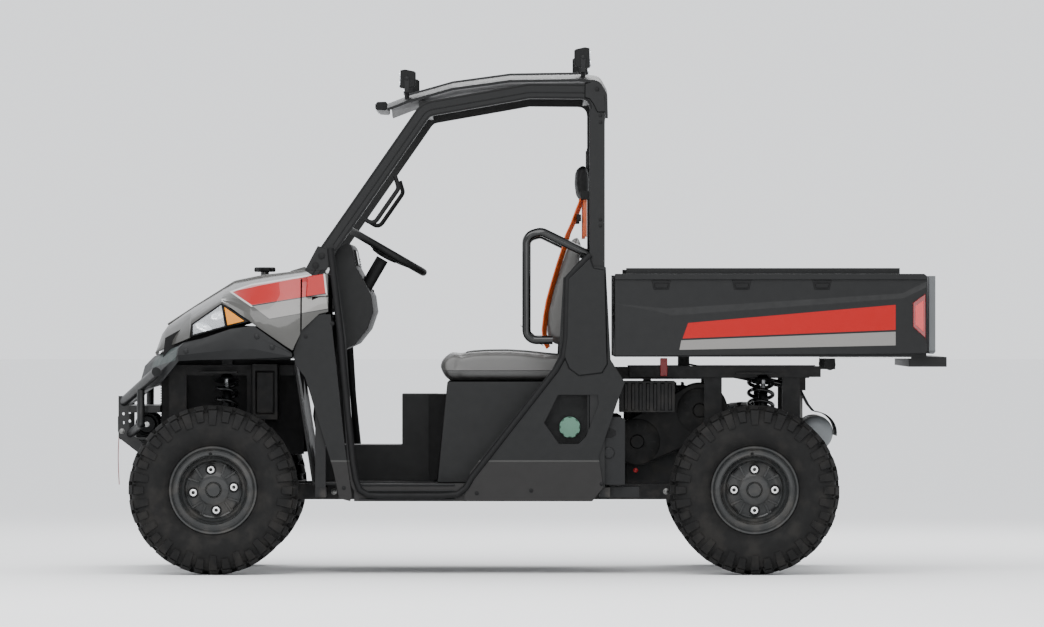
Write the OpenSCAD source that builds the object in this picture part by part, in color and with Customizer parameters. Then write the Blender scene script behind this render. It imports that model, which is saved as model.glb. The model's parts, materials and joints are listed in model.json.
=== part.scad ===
// Two-seat utility terrain vehicle with an open cab, a tipping cargo box and independent suspension.
// X points forwards, Y to the vehicle's left and Z up. The origin is on the ground, halfway along
// the vehicle, in its middle plane.

/* [Vehicle] */
// Distance between the front and rear axles
wheelbase = 2057; // [1750:1:2500]
// From the front axle to the front of the tow hook
front_overhang = 397; // [385:1:480]
// From the rear axle to the back of the step bar
rear_overhang = 732; // [722:1:900]
// Width over the tyres
overall_w = 1588; // [1480:1:1910]
// Height of the underside of the frame above the ground
ground_clearance = 279; // [250:1:330]
// Width over the cab's side panels
cab_w = 1404; // [1280:1:1690]
// Height of the roof's highest point
roof_h = 1911; // [1800:1:2300]

/* [Wheels and steering] */
// Outer diameter of the tyres
tyre_d = 644; // [560:1:780]
// Section width of the tyres
tyre_w = 235; // [200:1:285]
// Diameter over the rim's flanges
rim_d = 336; // [320:1:360]
// Width over the rim's flanges
rim_w = 180; // [160:1:195]
// How far each front wheel steers to either side, in degrees
steer_lock = 30; // [20:1:32]
// Distance from the tyre's middle plane inwards to the steering axis
kingpin_offset = 58; // [50:1:70]
// Diameter of the steering wheel
steering_wheel_d = 352; // [320:1:400]
// Gap left between a moving piece and its neighbours
moving_gap = 6; // [5:1:10]

/* [Cab] */
// Thickness of the moulded outer panels
panel_t = 8; // [4:1:10]
// Side length of the square cab tubes across the vehicle
cab_tube = 50; // [40:1:60]
// Depth of the cab tubes seen from the side
cab_tube_depth = 58; // [48:1:70]
// Thickness of the roof moulding
roof_t = 10; // [6:1:14]
// Thickness of the floor
floor_t = 8; // [4:1:12]
// Height of the top of the seat cushions
seat_h = 851; // [800:1:1000]
// Thickness of the seat cushions
cushion_t = 117; // [90:1:140]
// Width of each of the two seats
seat_w = 520; // [440:1:540]
// Diameter of the hip bar tubes
hip_bar_d = 33; // [25:1:38]

/* [Cargo box] */
// Outside length of the cargo box, without its tailgate
bed_l = 1185; // [1000:1:1400]
// Outside width of the cargo box
bed_w = 1470; // [1300:1:1760]
// Outside depth of the cargo box
bed_depth = 316; // [250:1:400]
// Thickness of the cargo box's walls and floor
bed_wall = 18; // [12:1:30]
// Height of the underside of the cargo box
bed_bottom = 828; // [815:1:900]
// Radius of the cargo box's hinge pins
bed_pin_r = 12; // [8:1:14]
// Running clearance of a pin in its hole, on the radius
pin_clearance = 0.08; // [0.05:0.01:0.1]

/* [Frame] */
// Width over the two main rails
frame_w = 640; // [560:1:700]
// Width of a main rail
rail_w = 50; // [40:1:60]
// Height of a main rail
rail_h = 60; // [50:1:80]
// Height of the top of the front tower
tower_h = 795; // [760:1:810]
// Radius of the suspension arms' tubes
arm_r = 15; // [12:1:18]
// Outer radius of the coil springs
spring_r = 44; // [36:1:46]
// Diameter of the main bumper tubes
bumper_tube_d = 38; // [32:1:44]
// Half the square opening of the tow receiver
receiver_half = 25.5; // [20:0.5:26]
// Radius of the hole for the tow receiver's pin
receiver_pin_r = 8; // [6:0.5:10]

/* [Hidden] */
$fn = 48;

// Longitudinal stations
overall_l = front_overhang + wheelbase + rear_overhang;
x_nose = overall_l / 2;
x_fa = x_nose - front_overhang;
x_ra = x_fa - wheelbase;
x_cowl = x_fa - 438;
x_pillar = x_ra + 629;

// Half widths
half_w = overall_w / 2;
cab_half = cab_w / 2;
tube_out = cab_half - panel_t - 4;
tube_in = tube_out - cab_tube;
fender_half = cab_half + 38;
bed_half = bed_w / 2;
frame_half = frame_w / 2;

// Wheels
tyre_r = tyre_d / 2;
rim_r = rim_d / 2;
axle_z = tyre_r;
wheel_y = half_w - tyre_w / 2;
kingpin_y = wheel_y - kingpin_offset;
spindle_r = 20;
ball_z = 112;
ball_r = 14;
upright_in = 22;
// How far back a front tyre reaches from its axle on its way to full lock
tyre_reach = tyre_w / 2 + kingpin_offset;
widest_lock = min(steer_lock, atan(tyre_reach / tyre_r));
swept_r = tyre_r * cos(widest_lock) + tyre_reach * sin(widest_lock);

// Levels
rail_top = ground_clearance + rail_h;
floor_h = rail_top + floor_t;
arch_z = 821;
box_rail_top = 791;
box_rail_h = 42;

// Cargo box
bed_front = x_ra + 531;
bed_rear = bed_front - bed_l;
bed_top = bed_bottom + bed_depth;
pivot_x = x_ra - 299;
pivot_z = 797;
gate_t = 24;
gate_gap = moving_gap + 3;
gate_hinge_x = bed_rear - gate_gap - gate_t / 2;
gate_hinge_z = bed_bottom + 24;

// ---------------------------------------------------------------- shape helpers

function unit(v) = v / norm(v);

// Left-hand normal of a 2D segment, and a mitred offset of a 2D polyline
function left(a, b) = let (d = unit(b - a)) [-d.y, d.x];
function mitred(p, i, w) =
    i == 0 ? p[0] + w * left(p[0], p[1])
    : i == len(p) - 1 ? p[i] + w * left(p[i - 1], p[i])
    : let (m = left(p[i - 1], p[i]), n = left(p[i], p[i + 1])) p[i] + w * (m + n) / (1 + m * n);
function strip(p, w) = concat(p, [for (i = [len(p) - 1:-1:0]) mitred(p, i, w)]);

// A closed 2D outline moved by w along its left-hand normals
function grown(p, w) =
    let (n = len(p)) [for (i = [0:n - 1])
        let (a = left(p[(i + n - 1) % n], p[i]), b = left(p[i], p[(i + 1) % n]))
        p[i] + w * (a + b) / (1 + a * b)];

// A polyline with each inner corner rounded to radius r, in 2D or 3D
function corner(a, p, b, r, n) =
    let (
        u = unit(a - p), v = unit(b - p), half = acos(u * v) / 2,
        c = p + unit(u + v) * r / sin(half), turn = 180 - 2 * half,
        s = p + u * r / tan(half) - c, e = p + v * r / tan(half) - c
    ) [for (k = [0:n]) c + (s * sin((1 - k / n) * turn) + e * sin(k / n * turn)) / sin(turn)];
function rounded(p, r, n = 5) = concat(
    [p[0]], [for (i = [1:len(p) - 2]) each corner(p[i - 1], p[i], p[i + 1], r, n)], [p[len(p) - 1]]
);

// A box between two corners
module slab(x, y, z) {
    translate([x[0], y[0], z[0]]) cube([x[1] - x[0], y[1] - y[0], z[1] - z[0]]);
}

module both_sides() {
    children();
    mirror([0, 1, 0]) children();
}

// A side-view outline, in X and Z, that runs from y[0] to y[1]
module side_plate(outline, y) {
    translate([0, y[1], 0]) rotate([90, 0, 0]) linear_extrude(y[1] - y[0]) polygon(outline);
}

// A round bar between two points
module bar(a, b, r) {
    v = b - a;
    translate(a) rotate([0, acos(v.z / norm(v)), atan2(v.y, v.x)]) cylinder(h = norm(v), r = r);
}

module across(p, r, l) {
    translate([p.x, p.y - l / 2, p.z]) rotate([-90, 0, 0]) cylinder(h = l, r = r);
}

module along(p, r, l) {
    translate([p.x - l / 2, p.y, p.z]) rotate([0, 90, 0]) cylinder(h = l, r = r);
}

// A section swept along a path; ref is a direction that the path never takes
function heading(p, i) =
    i == 0 ? unit(p[1] - p[0])
    : i == len(p) - 1 ? unit(p[i] - p[i - 1])
    : unit(unit(p[i + 1] - p[i]) + unit(p[i] - p[i - 1]));
function quad_faces(a, b, c, d) = [[a, b, c], [a, c, d]];
module sweep(path, section, ref) {
    n = len(section);
    m = len(path);
    points = [for (i = [0:m - 1])
        let (t = heading(path, i), s = unit(cross(t, ref)), u = cross(t, s))
        for (q = section) path[i] + q.x * s + q.y * u];
    sides = [for (i = [0:m - 2], k = [0:n - 1])
        let (l = (k + 1) % n)
        each quad_faces(i * n + k, (i + 1) * n + k, (i + 1) * n + l, i * n + l)];
    caps = [for (k = [1:n - 2]) each [[0, k, k + 1], [(m - 1) * n, (m - 1) * n + k + 1, (m - 1) * n + k]]];
    polyhedron(points, concat(sides, caps));
}
function ring(r, n) = [for (k = [0:n - 1]) r * [cos(360 * k / n), sin(360 * k / n)]];
function flat(w, t) = [[-w, -t] / 2, [w, -t] / 2, [w, t] / 2, [-w, t] / 2];
module pipe(path, d, ref = [0, 1, 0], sides = 14) {
    sweep(path, ring(d / 2, sides), ref);
}

// A sheet of thickness t under a grid of points. Its outer face is the grid's, on the side where
// the rows' direction crossed with the columns' direction points.
function grid_normal(g, i, j) =
    let (
        a = g[min(i + 1, len(g) - 1)][j] - g[max(i - 1, 0)][j],
        b = g[i][min(j + 1, len(g[0]) - 1)] - g[i][max(j - 1, 0)]
    ) unit(cross(a, b));
module sheet(g, t) {
    m = len(g);
    n = len(g[0]);
    outer = [for (r = g) each r];
    inner = [for (i = [0:m - 1], j = [0:n - 1]) g[i][j] - t * grid_normal(g, i, j)];
    function at(i, j) = i * n + j;
    function below(i, j) = m * n + at(i, j);
    skin = [for (i = [0:m - 2], j = [0:n - 2]) each concat(
        quad_faces(at(i, j), at(i, j + 1), at(i + 1, j + 1), at(i + 1, j)),
        quad_faces(below(i, j), below(i + 1, j), below(i + 1, j + 1), below(i, j + 1)))];
    ends = [for (j = [0:n - 2]) each concat(
        quad_faces(at(0, j), below(0, j), below(0, j + 1), at(0, j + 1)),
        quad_faces(at(m - 1, j), at(m - 1, j + 1), below(m - 1, j + 1), below(m - 1, j)))];
    edges = [for (i = [0:m - 2]) each concat(
        quad_faces(at(i, 0), at(i + 1, 0), below(i + 1, 0), below(i, 0)),
        quad_faces(at(i, n - 1), below(i, n - 1), below(i + 1, n - 1), at(i + 1, n - 1)))];
    polyhedron(concat(outer, inner), concat(skin, ends, edges));
}

// ---------------------------------------------------------------- frame

frame_front = x_fa + 330;
frame_rear = x_ra - 250;
post_dx = 150;
ear_t = 6;
bush_r = 17;
bush_y = frame_half + 3 + bush_r;
bush_l = 54;
arm_inner_low = ground_clearance + 32;
arm_inner_high = axle_z + 150;

// Two ears that hold a suspension arm's bush
module bush_ears(x, z) {
    for (s = [-1, 1])
        translate([x + s * (bush_l / 2 + ear_t / 2) - ear_t / 2, frame_half - 2, z - 24])
            cube([ear_t, bush_y + 14 - frame_half, 48]);
}

module frame() {
    color("#26282a") union() {
        both_sides() {
            slab([frame_rear, frame_front], [frame_half - rail_w, frame_half], [ground_clearance, rail_top]);
            for (xa = [x_fa, x_ra], s = [-1, 1]) bush_ears(xa + s * post_dx, arm_inner_low);
            // Outriggers under the cab
            for (x = [foot_post_x, x_pillar - 60])
                slab([x - 20, x + 20], [frame_half - 10, tube_out - 8], [rail_top - 45, rail_top - 8]);
        }
        for (x = [x_fa + 300, rack_x, x_cowl - 300, x_pillar - 100, x_ra + 300, x_ra - 226])
            slab([x - 20, x + 20], [-frame_half + 10, frame_half - 10],
                [ground_clearance + 8, rail_top - 10]);
        receiver();
    }
}

// Posts that carry the upper arms, with a plate for the top of each shock absorber
module tower(xa, top) {
    for (s = [-1, 1]) {
        x = xa + s * post_dx;
        slab([x - 34, x + 34], [frame_half - 40, frame_half], [rail_top, top - 12]);
        bush_ears(x, arm_inner_high);
    }
    slab([xa - 80, xa + 60], [frame_half - 30, frame_half + 76], [top - 32, top - 24]);
}

module front_tower() {
    color("#26282a") union() {
        both_sides() {
            tower(x_fa, tower_h);
            slab([x_fa - 300, x_fa + 230], [frame_half - 44, frame_half - 4], [tower_h - 40, tower_h]);
        }
        for (x = [x_fa - 280, x_fa + 210])
            slab([x - 18, x + 18], [-frame_half + 20, frame_half - 20], [tower_h - 36, tower_h - 4]);
    }
}

// The same for the rear axle, with the rails under the cargo box and the hinge ears at their back
module rear_tower() {
    color("#26282a") union() {
        both_sides() {
            tower(x_ra, box_rail_top);
            slab([x_ra + post_dx + 10, x_pillar - 60], [frame_half - 42, frame_half - 6],
                [box_rail_top - 50, box_rail_top - 6]);
            slab([x_ra - post_dx - 70, x_ra + post_dx + 30], [frame_half - 44, frame_half - 4],
                [box_rail_top - 46, box_rail_top - 8]);
            slab([x_pillar - 94, x_pillar - 44], [frame_half - 38, frame_half + 4],
                [rail_top, box_rail_top - 10]);
            difference() {
                union() {
                    slab([pivot_x + 36, bed_front - 60], [frame_half - 8, frame_half + 40],
                        [box_rail_top - box_rail_h, box_rail_top]);
                    slab([pivot_x, pivot_x + 50], [frame_half, frame_half + 16],
                        [pivot_z - 18, box_rail_top - 4]);
                    across([pivot_x, frame_half + 8, pivot_z], 22, 16);
                }
                across([pivot_x, frame_half + 8, pivot_z], bed_pin_r + pin_clearance, 40);
            }
        }
        slab([strut_low.x - 65, strut_low.x - 28], [-frame_half + 20, frame_half - 20],
            [box_rail_top - 42, box_rail_top - 12]);
        // Bracket and pin of the lift strut
        for (s = [-1, 1])
            slab([strut_low.x - 60, strut_low.x + 20], [strut_y + s * 23 - 3, strut_y + s * 23 + 3],
                [strut_low.z - 18, box_rail_top - 20]);
        across(strut_low, strut_pin_r, 50);
        slab([x_pillar - 88, x_pillar - 50], [-frame_half + 20, frame_half - 20],
            [box_rail_top - 44, box_rail_top - 14]);
    }
}
function top_of(xa) = xa > 0 ? tower_h : box_rail_top;

receiver_wall = 6.5;
receiver_end = frame_rear - 66;
receiver_z = rail_top + 42;
module receiver() {
    half = receiver_half + receiver_wall;
    difference() {
        union() {
            slab([receiver_end, x_ra - 200], [-half, half], [receiver_z - half, receiver_z + half]);
            slab([x_ra - 246, x_ra - 206], [-half + 4, half - 4], [rail_top - 20, receiver_z - half + 4]);
        }
        slab([receiver_end - 1, x_ra - 205], [-receiver_half, receiver_half],
            [receiver_z - receiver_half, receiver_z + receiver_half]);
        across([receiver_end + 50, 0, receiver_z], receiver_pin_r, 200);
    }
}

// ---------------------------------------------------------------- suspension

shock_dx = -41;
shock_top_y = frame_half + 56;

module arm(xa, inner_z, ball_dz) {
    ball = [xa, kingpin_y, axle_z + ball_dz];
    difference() {
        union() {
            for (s = [-1, 1]) {
                bush = [xa + s * post_dx, bush_y, inner_z];
                along(bush, bush_r, bush_l);
                bar(bush, ball - [0, 20, 0], arm_r);
            }
            translate(ball - [0, 0, 8]) cylinder(h = 16, r = ball_r + 11);
            f = 0.5;
            p = [xa, bush_y + (kingpin_y - bush_y) * f, inner_z + (ball.z - inner_z) * f];
            if (ball_dz < 0) along(p, arm_r - 3, 2 * post_dx * (1 - f));
        }
        translate(ball - [0, 0, 30]) cylinder(h = 60, r = ball_r + pin_clearance);
        for (s = [-1, 1]) along([xa + s * post_dx, bush_y, inner_z], 7, bush_l + 2);
    }
}

module suspension_arms() {
    color("#1d1e20") both_sides() for (xa = [x_fa, x_ra]) {
        arm(xa, arm_inner_low, -ball_z);
        arm(xa, arm_inner_high, ball_z);
    }
}

// From the top of a coil-over down to its upper spring seat
seat_drop = 30;
// A coil-over: damper body, rod and spring, from the lower arm's cross tube to the tower's plate
module coil_over(xa) {
    low = [xa + shock_dx, bush_y + (kingpin_y - bush_y) * 0.5,
        arm_inner_low + (axle_z - ball_z - arm_inner_low) * 0.5 + arm_r + 4];
    high = [xa + shock_dx, shock_top_y, top_of(xa) - 32];
    l = norm(high - low);
    v = unit(high - low);
    translate(low) rotate([0, acos(v.z), atan2(v.y, v.x)]) {
        cylinder(h = l * 0.62, r = 23);
        cylinder(h = l - 3, r = 9);
        for (h = [l * 0.42, l - seat_drop]) translate([0, 0, h]) cylinder(h = 6, r = spring_r);
        coil(l * 0.42 + 6.2, l - seat_drop - 0.2, spring_r - 7, 5.5, 6);
    }
}

// A coil spring of wire radius w and mean radius r, standing between two heights
module coil(low, high, r, w, turns) {
    steps = 14;
    n = turns * steps;
    path = [for (i = [0:n])
        let (a = 360 * i / steps, h = low + w + (high - low - 2 * w) * i / n)
        [r * cos(a), r * sin(a), h]];
    sweep(path, ring(w, 6), [0, 0, 1]);
}

module shock_absorbers() {
    color("#17181a") both_sides() for (xa = [x_fa, x_ra]) coil_over(xa);
}

// Upright with its two ball pins and the spindle that carries the wheel
module upright(xa) {
    c = [xa, kingpin_y, axle_z];
    translate(c) {
        slab([-32, 32], [-upright_in, 18], [-ball_z + 28, ball_z - 28]);
        translate([0, 0, -ball_z - 12]) cylinder(h = 2 * ball_z + 24, r = ball_r);
        rotate([-90, 0, 0]) cylinder(h = kingpin_offset + 4, r = spindle_r);
    }
}

steer_arm_x = -85;
steer_arm_z = 70;
arm_eye_h = 20;
module steering_knuckle() {
    upright(x_fa);
    translate([x_fa, kingpin_y, axle_z]) {
        side = [steer_arm_x, 0, steer_arm_z];
        bar([-20, 0, steer_arm_z], side, 9);
        translate(side - [0, 0, arm_eye_h / 2]) cylinder(h = arm_eye_h, r = 17);
    }
}
module steering_knuckle_left() color("#2a2c2e") steering_knuckle();
module steering_knuckle_right() color("#2a2c2e") mirror([0, 1, 0]) steering_knuckle();

module rear_hubs() {
    color("#2a2c2e") both_sides() upright(x_ra);
}

// Rack bar with a tie rod each side; the ends run just under the knuckles' arms
rack_x = x_fa + steer_arm_x;
rack_z = axle_z + steer_arm_z - arm_eye_h / 2 - moving_gap - 12;
rack_r = 13;
module tie_rods() {
    color("#3a3c3e") {
        across([rack_x, 0, rack_z], rack_r, 2 * frame_half + 20);
        both_sides() {
            bar([rack_x, frame_half, rack_z], [rack_x, kingpin_y, rack_z], 9);
            translate([rack_x, kingpin_y, rack_z - 12]) cylinder(h = 24, r = 15);
        }
    }
}

module rack_housing() {
    color("#2f3133") difference() {
        union() {
            across([rack_x, 0, rack_z], rack_r + 11, 400);
            for (y = [-150, 120]) slab([rack_x - 18, rack_x + 18], [y, y + 30], [rail_top - 10, rack_z]);
        }
        across([rack_x, 0, rack_z], rack_r + pin_clearance, 410);
    }
}

// ---------------------------------------------------------------- wheels

module tyre_at(xa, s) {
    // Half section, out from the axle and across the tread: bead, sidewall, shoulder and tread
    b = rim_r - 14;
    h = tyre_w / 2;
    bead_w = rim_w / 2 - 12.6;
    outer = [[b, bead_w], [b + 14.5, bead_w + 5.5], [b + 20, bead_w + 15], [b + 60, h], [tyre_r - 52, h - 2],
        [tyre_r - 22, h - 12], [tyre_r - 4, h - 40], [tyre_r, 0]];
    inner = [[tyre_r - 20, 0], [tyre_r - 24, h - 50], [tyre_r - 44, h - 24], [tyre_r - 60, h - 16],
        [b + 58, h - 14], [b + 26, bead_w - 4], [b, bead_w - 14]];
    half = concat(outer, inner);
    translate([xa, s * wheel_y, axle_z]) rotate([90, 0, 0]) rotate_extrude($fn = 96)
        polygon(concat(
            [for (p = outer) p], [for (i = [len(outer) - 2:-1:0]) [outer[i].x, -outer[i].y]],
            [for (i = [len(inner) - 1:-1:1]) [inner[i].x, -inner[i].y]], [for (p = inner) p]));
}

hub_out = 26;
stud_pcd = 156;
module rim_at(xa, s) {
    r = rim_r - 15;
    w = rim_w / 2;
    t = 5;
    well = 16;
    barrel = [[r + 14, w], [r + 15, w - 6], [r, w - 12], [r, w - 42], [r - well, w - 58],
        [r - well, -w + 62], [r, -w + 46], [r, -w + 12], [r + 15, -w + 6], [r + 14, -w],
        [r - t, -w], [r - t, -w + 44], [r - well - t, -w + 60], [r - well - t, w - 56],
        [r - t, w - 40], [r - t, w]];
    disc = [[spindle_r + pin_clearance, -kingpin_offset + 24], [46, -kingpin_offset + 24], [46, 4],
        [72, 4], [r - well - t - 14, 14], [r - well - t + 1, 14], [r - well - t + 1, 22],
        [r - well - t - 18, 22], [74, 12], [40, 14], [30, hub_out], [0, hub_out],
        [0, hub_out - 8], [spindle_r + pin_clearance, hub_out - 8]];
    translate([xa, s * wheel_y, axle_z]) rotate([s > 0 ? -90 : 90, 0, 0]) {
        difference() {
            rotate_extrude($fn = 96) {
                polygon(barrel);
                polygon(disc);
            }
            for (k = [0:7]) rotate(22.5 + 45 * k) translate([96, 0, -20]) cylinder(h = 60, r = 9);
        }
        for (k = [0:3]) rotate(90 * k) translate([stud_pcd / 2, 0, 10]) cylinder(h = 12, r = 9);
    }
}
module tyre_front_left() color("#1b1b1b") tyre_at(x_fa, 1);
module tyre_front_right() color("#1b1b1b") tyre_at(x_fa, -1);
module tyre_rear_left() color("#1b1b1b") tyre_at(x_ra, 1);
module tyre_rear_right() color("#1b1b1b") tyre_at(x_ra, -1);
module rim_front_left() color("#3b3e40") rim_at(x_fa, 1);
module rim_front_right() color("#3b3e40") rim_at(x_fa, -1);
module rim_rear_left() color("#3b3e40") rim_at(x_ra, 1);
module rim_rear_right() color("#3b3e40") rim_at(x_ra, -1);

// ---------------------------------------------------------------- cab

// Side outline of the cab frame, front foot to back foot, along its outer edge
pillar_foot = [x_cowl + 92, 1158];
roof_rail_z = roof_h - 43;
cab_line = rounded([
    pillar_foot, [x_cowl - 352, roof_rail_z - 72], [x_pillar + 230, roof_rail_z],
    [x_pillar - 60, roof_rail_z - 2], [x_pillar - 60, rail_top - 8]
], 90);
foot_post_x = x_cowl + 32;

module cab_frame() {
    color("#1f2122") union() {
        both_sides() {
            side_plate(strip(cab_line, cab_tube_depth), [tube_in, tube_out]);
            // Foot bracket of the front pillar, on a post that stands on the frame
            side_plate([[x_cowl + 90, 1160], [x_cowl + 8, 1160], [x_cowl - 30, 1230], [x_cowl + 42, 1250]],
                [tube_in + 6, tube_out - 2]);
            slab([foot_post_x - 20, foot_post_x + 20], [tube_in + 4, tube_out - 8], [rail_top - 8, 1180]);
        }
        for (p = [[x_cowl - 365, roof_rail_z - 90], [x_pillar - 5, roof_rail_z - 34]])
            slab([p.x - 22, p.x + 22], [-tube_out + 8, tube_out - 8], [p.y - 22, p.y + 22]);
        // Bars behind the seats: one for the head restraints, one at shoulder height
        for (z = [1610, 1270])
            slab([x_pillar - 52, x_pillar - 12], [-tube_out + 8, tube_out - 8], [z - 20, z + 20]);
    }
}

// Roof moulding: a crowned strip with an edge that laps over the side rails
roof_half = tube_out + 10;
roof_line = rounded([
    [x_cowl - 222, roof_h - 112], [x_cowl - 300, roof_h - 82], [x_cowl - 470, roof_h - 34],
    [x_pillar + 300, roof_h - 4], [x_pillar + 40, roof_h], [x_pillar - 40, roof_h - 6],
    [x_pillar - 70, roof_h - 60], [x_pillar - 72, roof_h - 150]
], 36, 4);
module roof() {
    function crown(p, f) = [p.x, roof_half * f, p.y - 26 * pow(abs(f), 6)];
    color("#222426") sheet(
        [for (f = [-1, -0.97, -0.9, -0.7, -0.35, 0, 0.35, 0.7, 0.9, 0.97, 1])
            [for (p = roof_line) crown(p, f)]], roof_t);
}

// A lamp housing on a stem, and the bar of warning lamps under the roof's front lip
module roof_lights() {
    color("#151617") both_sides() {
        translate([x_cowl - 300, roof_half - 70, roof_h - 78]) {
            slab([-34, 40], [-38, 38], [14, 92]);
            slab([-8, 12], [-12, 12], [-2, 15]);
        }
        translate([x_pillar + 26, roof_half - 80, roof_h]) {
            slab([-60, 52], [-42, 42], [14, 98]);
            slab([-24, 0], [-14, 14], [0.5, 15]);
        }
    }
    color("#1c1e20") slab([x_cowl - 218, x_cowl - 176], [-420, 420], [roof_h - 140, roof_h - 106]);
}

module grab_handles() {
    lean = unit([pillar_foot.x - (x_cowl - 352), 0, pillar_foot.y - (roof_rail_z - 72)]);
    foot = [x_cowl - 138, (tube_in + tube_out) / 2, 1352];
    out = [-lean.z, 0, lean.x] * -1;
    color("#1a1b1c") both_sides()
        pipe(rounded([foot, foot - out * -38, foot - out * -38 - lean * 170, foot - lean * 200], 24, 4), 17);
}

// Floor with raised sills, a sloping toe board and a low centre tunnel
toe_x = x_fa - swept_r - moving_gap - 2;
seat_front = x_cowl - 412;
cab_back = x_pillar - 40;
tunnel_half = 140;
// Centre console: a low tunnel that rises to the seats' height at its back
module console() {
    both_sides() slab([seat_front + 36, toe_x - 20], [tunnel_half - floor_t, tunnel_half],
        [floor_h - 1, floor_h + 139]);
    slab([seat_front + 36, toe_x - 12], [-tunnel_half, tunnel_half], [floor_h + 133, floor_h + 139]);
    slab([seat_front + 134, seat_front + 140], [-tunnel_half, tunnel_half], [floor_h + 133, floor_h + 336]);
    slab([seat_front + 4, seat_front + 140], [-tunnel_half, tunnel_half], [floor_h + 330, floor_h + 336]);
    both_sides() slab([seat_front + 36, seat_front + 140], [tunnel_half - floor_t, tunnel_half],
        [floor_h + 133, floor_h + 336]);
}
module floor() {
    toe = [[toe_x, floor_h - floor_t], [toe_x + 70, 800]];
    color("#232527") union() {
        slab([cab_back, toe_x], [-tube_in + 10, tube_in - 10], [floor_h - floor_t, floor_h]);
        side_plate(strip(toe, floor_t), [-tube_in + 10, tube_in - 10]);
        console();
        both_sides()
            slab([x_pillar + 460, x_cowl - 96], [tube_in - 12, tube_out + 1], [ground_clearance, floor_h]);
    }
}

// Side panel behind each front wheel, and the narrow strip up to the front pillar
module cowl_panels() {
    outline = [
        [x_cowl + 10, 990], [x_cowl + 38, 989], [x_cowl + 101, 940], [x_cowl + 134, 846],
        [x_cowl + 128, 800], [x_cowl + 90, 750], [x_cowl - 16, 404], [x_cowl - 40, 290],
        [x_cowl - 82, ground_clearance], [x_cowl - 88, 300], [x_cowl - 60, 500], [x_cowl - 8, 990]
    ];
    pillar = rounded([[x_cowl + 8, 1250], [x_cowl - 40, 898], [x_cowl - 54, 665], [x_cowl - 72, 420],
        [x_cowl - 88, 316], [x_cowl - 150, 308]], 36, 4);
    color("#2b2d2f") both_sides() {
        side_plate(outline, [cab_half - panel_t, cab_half]);
        side_plate(strip(pillar, -26), [tube_out + 2, cab_half - panel_t - 0.5]);
    }
}

// Panel between the seat and the cargo box. The left one has the well of the fuel filler.
filler = [x_pillar + 74, 560];
filler_well = [
    [x_pillar + 118, 684], [x_pillar - 34, 684], [x_pillar - 37, 648], [x_pillar + 11, 526],
    [x_pillar + 40, 497], [x_pillar + 115, 497], [x_pillar + 171, 577]
];
// The pocket behind it stops short of the pillar
filler_pocket = concat(
    [filler_well[0], [x_pillar + 6, 684], [x_pillar + 6, 539]], [for (i = [3:6]) filler_well[i]]
);
quarter_front = [
    [x_pillar + 474, ground_clearance], [x_pillar + 474, 298], [x_pillar + 444, 388], [x_pillar + 134, 776],
    [x_pillar + 108, 826], [x_pillar + 90, 1130], [x_pillar - 2, 1224]
];
quarter_back = [
    [x_pillar - 2, 1172], [x_pillar - 64, 1170], [x_pillar - 82, 818], [x_pillar - 136, 731],
    [x_pillar - 108, 658], [x_pillar - 36, 448], [x_pillar - 54, 332], [x_pillar - 12, ground_clearance]
];
module quarter_plate() {
    side_plate(concat(quarter_front, quarter_back), [cab_half - panel_t, cab_half]);
}
module quarter_flanges() {
    side_plate(strip([for (i = [1:5]) quarter_front[i]], -panel_t),
        [tube_out + 2, cab_half - panel_t + 1]);
}
well_depth = 90;
well_y = cab_half - panel_t - well_depth;
module quarter_panels() {
    color("#2c2e30") {
        difference() {
            union() {
                quarter_plate();
                quarter_flanges();
                side_plate(grown(filler_pocket, -5), [well_y - 5, cab_half - 2]);
            }
            side_plate(filler_pocket, [well_y, cab_half + 5]);
            side_plate(filler_well, [cab_half - panel_t - 0.5, cab_half + 5]);
        }
        mirror([0, 1, 0]) {
            quarter_plate();
            quarter_flanges();
        }
    }
}

module fuel_cap() {
    color("#6f9c84") translate([filler.x - 1, well_y, filler.y]) rotate([-90, 0, 0]) difference() {
        cylinder(h = 40, r = 40);
        for (k = [0:7]) rotate(45 * k) translate([46, 0, 6]) cylinder(h = 50, r = 11);
    }
}

// Dashboard skin, open towards the front, with closed ends
dash_half = tube_in - 12;
dash_skin = rounded([
        [x_cowl - 14, 1150], [x_cowl - 24, 1225], [x_cowl - 72, 1262], [x_cowl - 84, 1236],
        [x_cowl - 96, 1170], [x_cowl - 155, 1060], [x_cowl - 163, 1000], [x_cowl - 140, 935],
        [x_cowl - 96, 880], [x_cowl - 30, 850]
    ], 12, 3);
dash_face = [for (i = [0:len(dash_skin) - 1]) mitred(dash_skin, i, -6)];
module dashboard() {
    color("#1b1c1e") union() {
        side_plate(strip(dash_skin, -6), [-dash_half, dash_half]);
        both_sides() side_plate(dash_skin, [dash_half - 6, dash_half]);
    }
}

// Steering column: 60 degrees from the horizontal, up to the hub of the wheel
wheel_tilt = 30;
driver_y = 330;
wheel_hub = [x_cowl - 216, driver_y, 1232];
column_dir = [-sin(wheel_tilt), 0, cos(wheel_tilt)];
module steering_column() {
    color("#202224") difference() {
        bar(wheel_hub - (28 + moving_gap) * column_dir, wheel_hub - 200 * column_dir, 24);
        side_plate(dash_face, [0, dash_half]);
    }
}

module steering_wheel() {
    r = steering_wheel_d / 2;
    color("#17181a") translate(wheel_hub) rotate([0, -wheel_tilt, 0]) {
        rotate_extrude($fn = 64) translate([r - 15, 0]) circle(r = 15, $fn = 24);
        translate([0, 0, -24]) cylinder(h = 16, r = 52);
        for (a = [180, 60, -60]) rotate(a) difference() {
            rotate([90, 0, 0]) linear_extrude(34, center = true)
                polygon([[30, -24], [30, -10], [r - 22, 5], [r - 22, -7]]);
        }
        translate([0, 0, -28]) cylinder(h = 6, r = 20);
    }
}

// ---------------------------------------------------------------- seats

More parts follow.
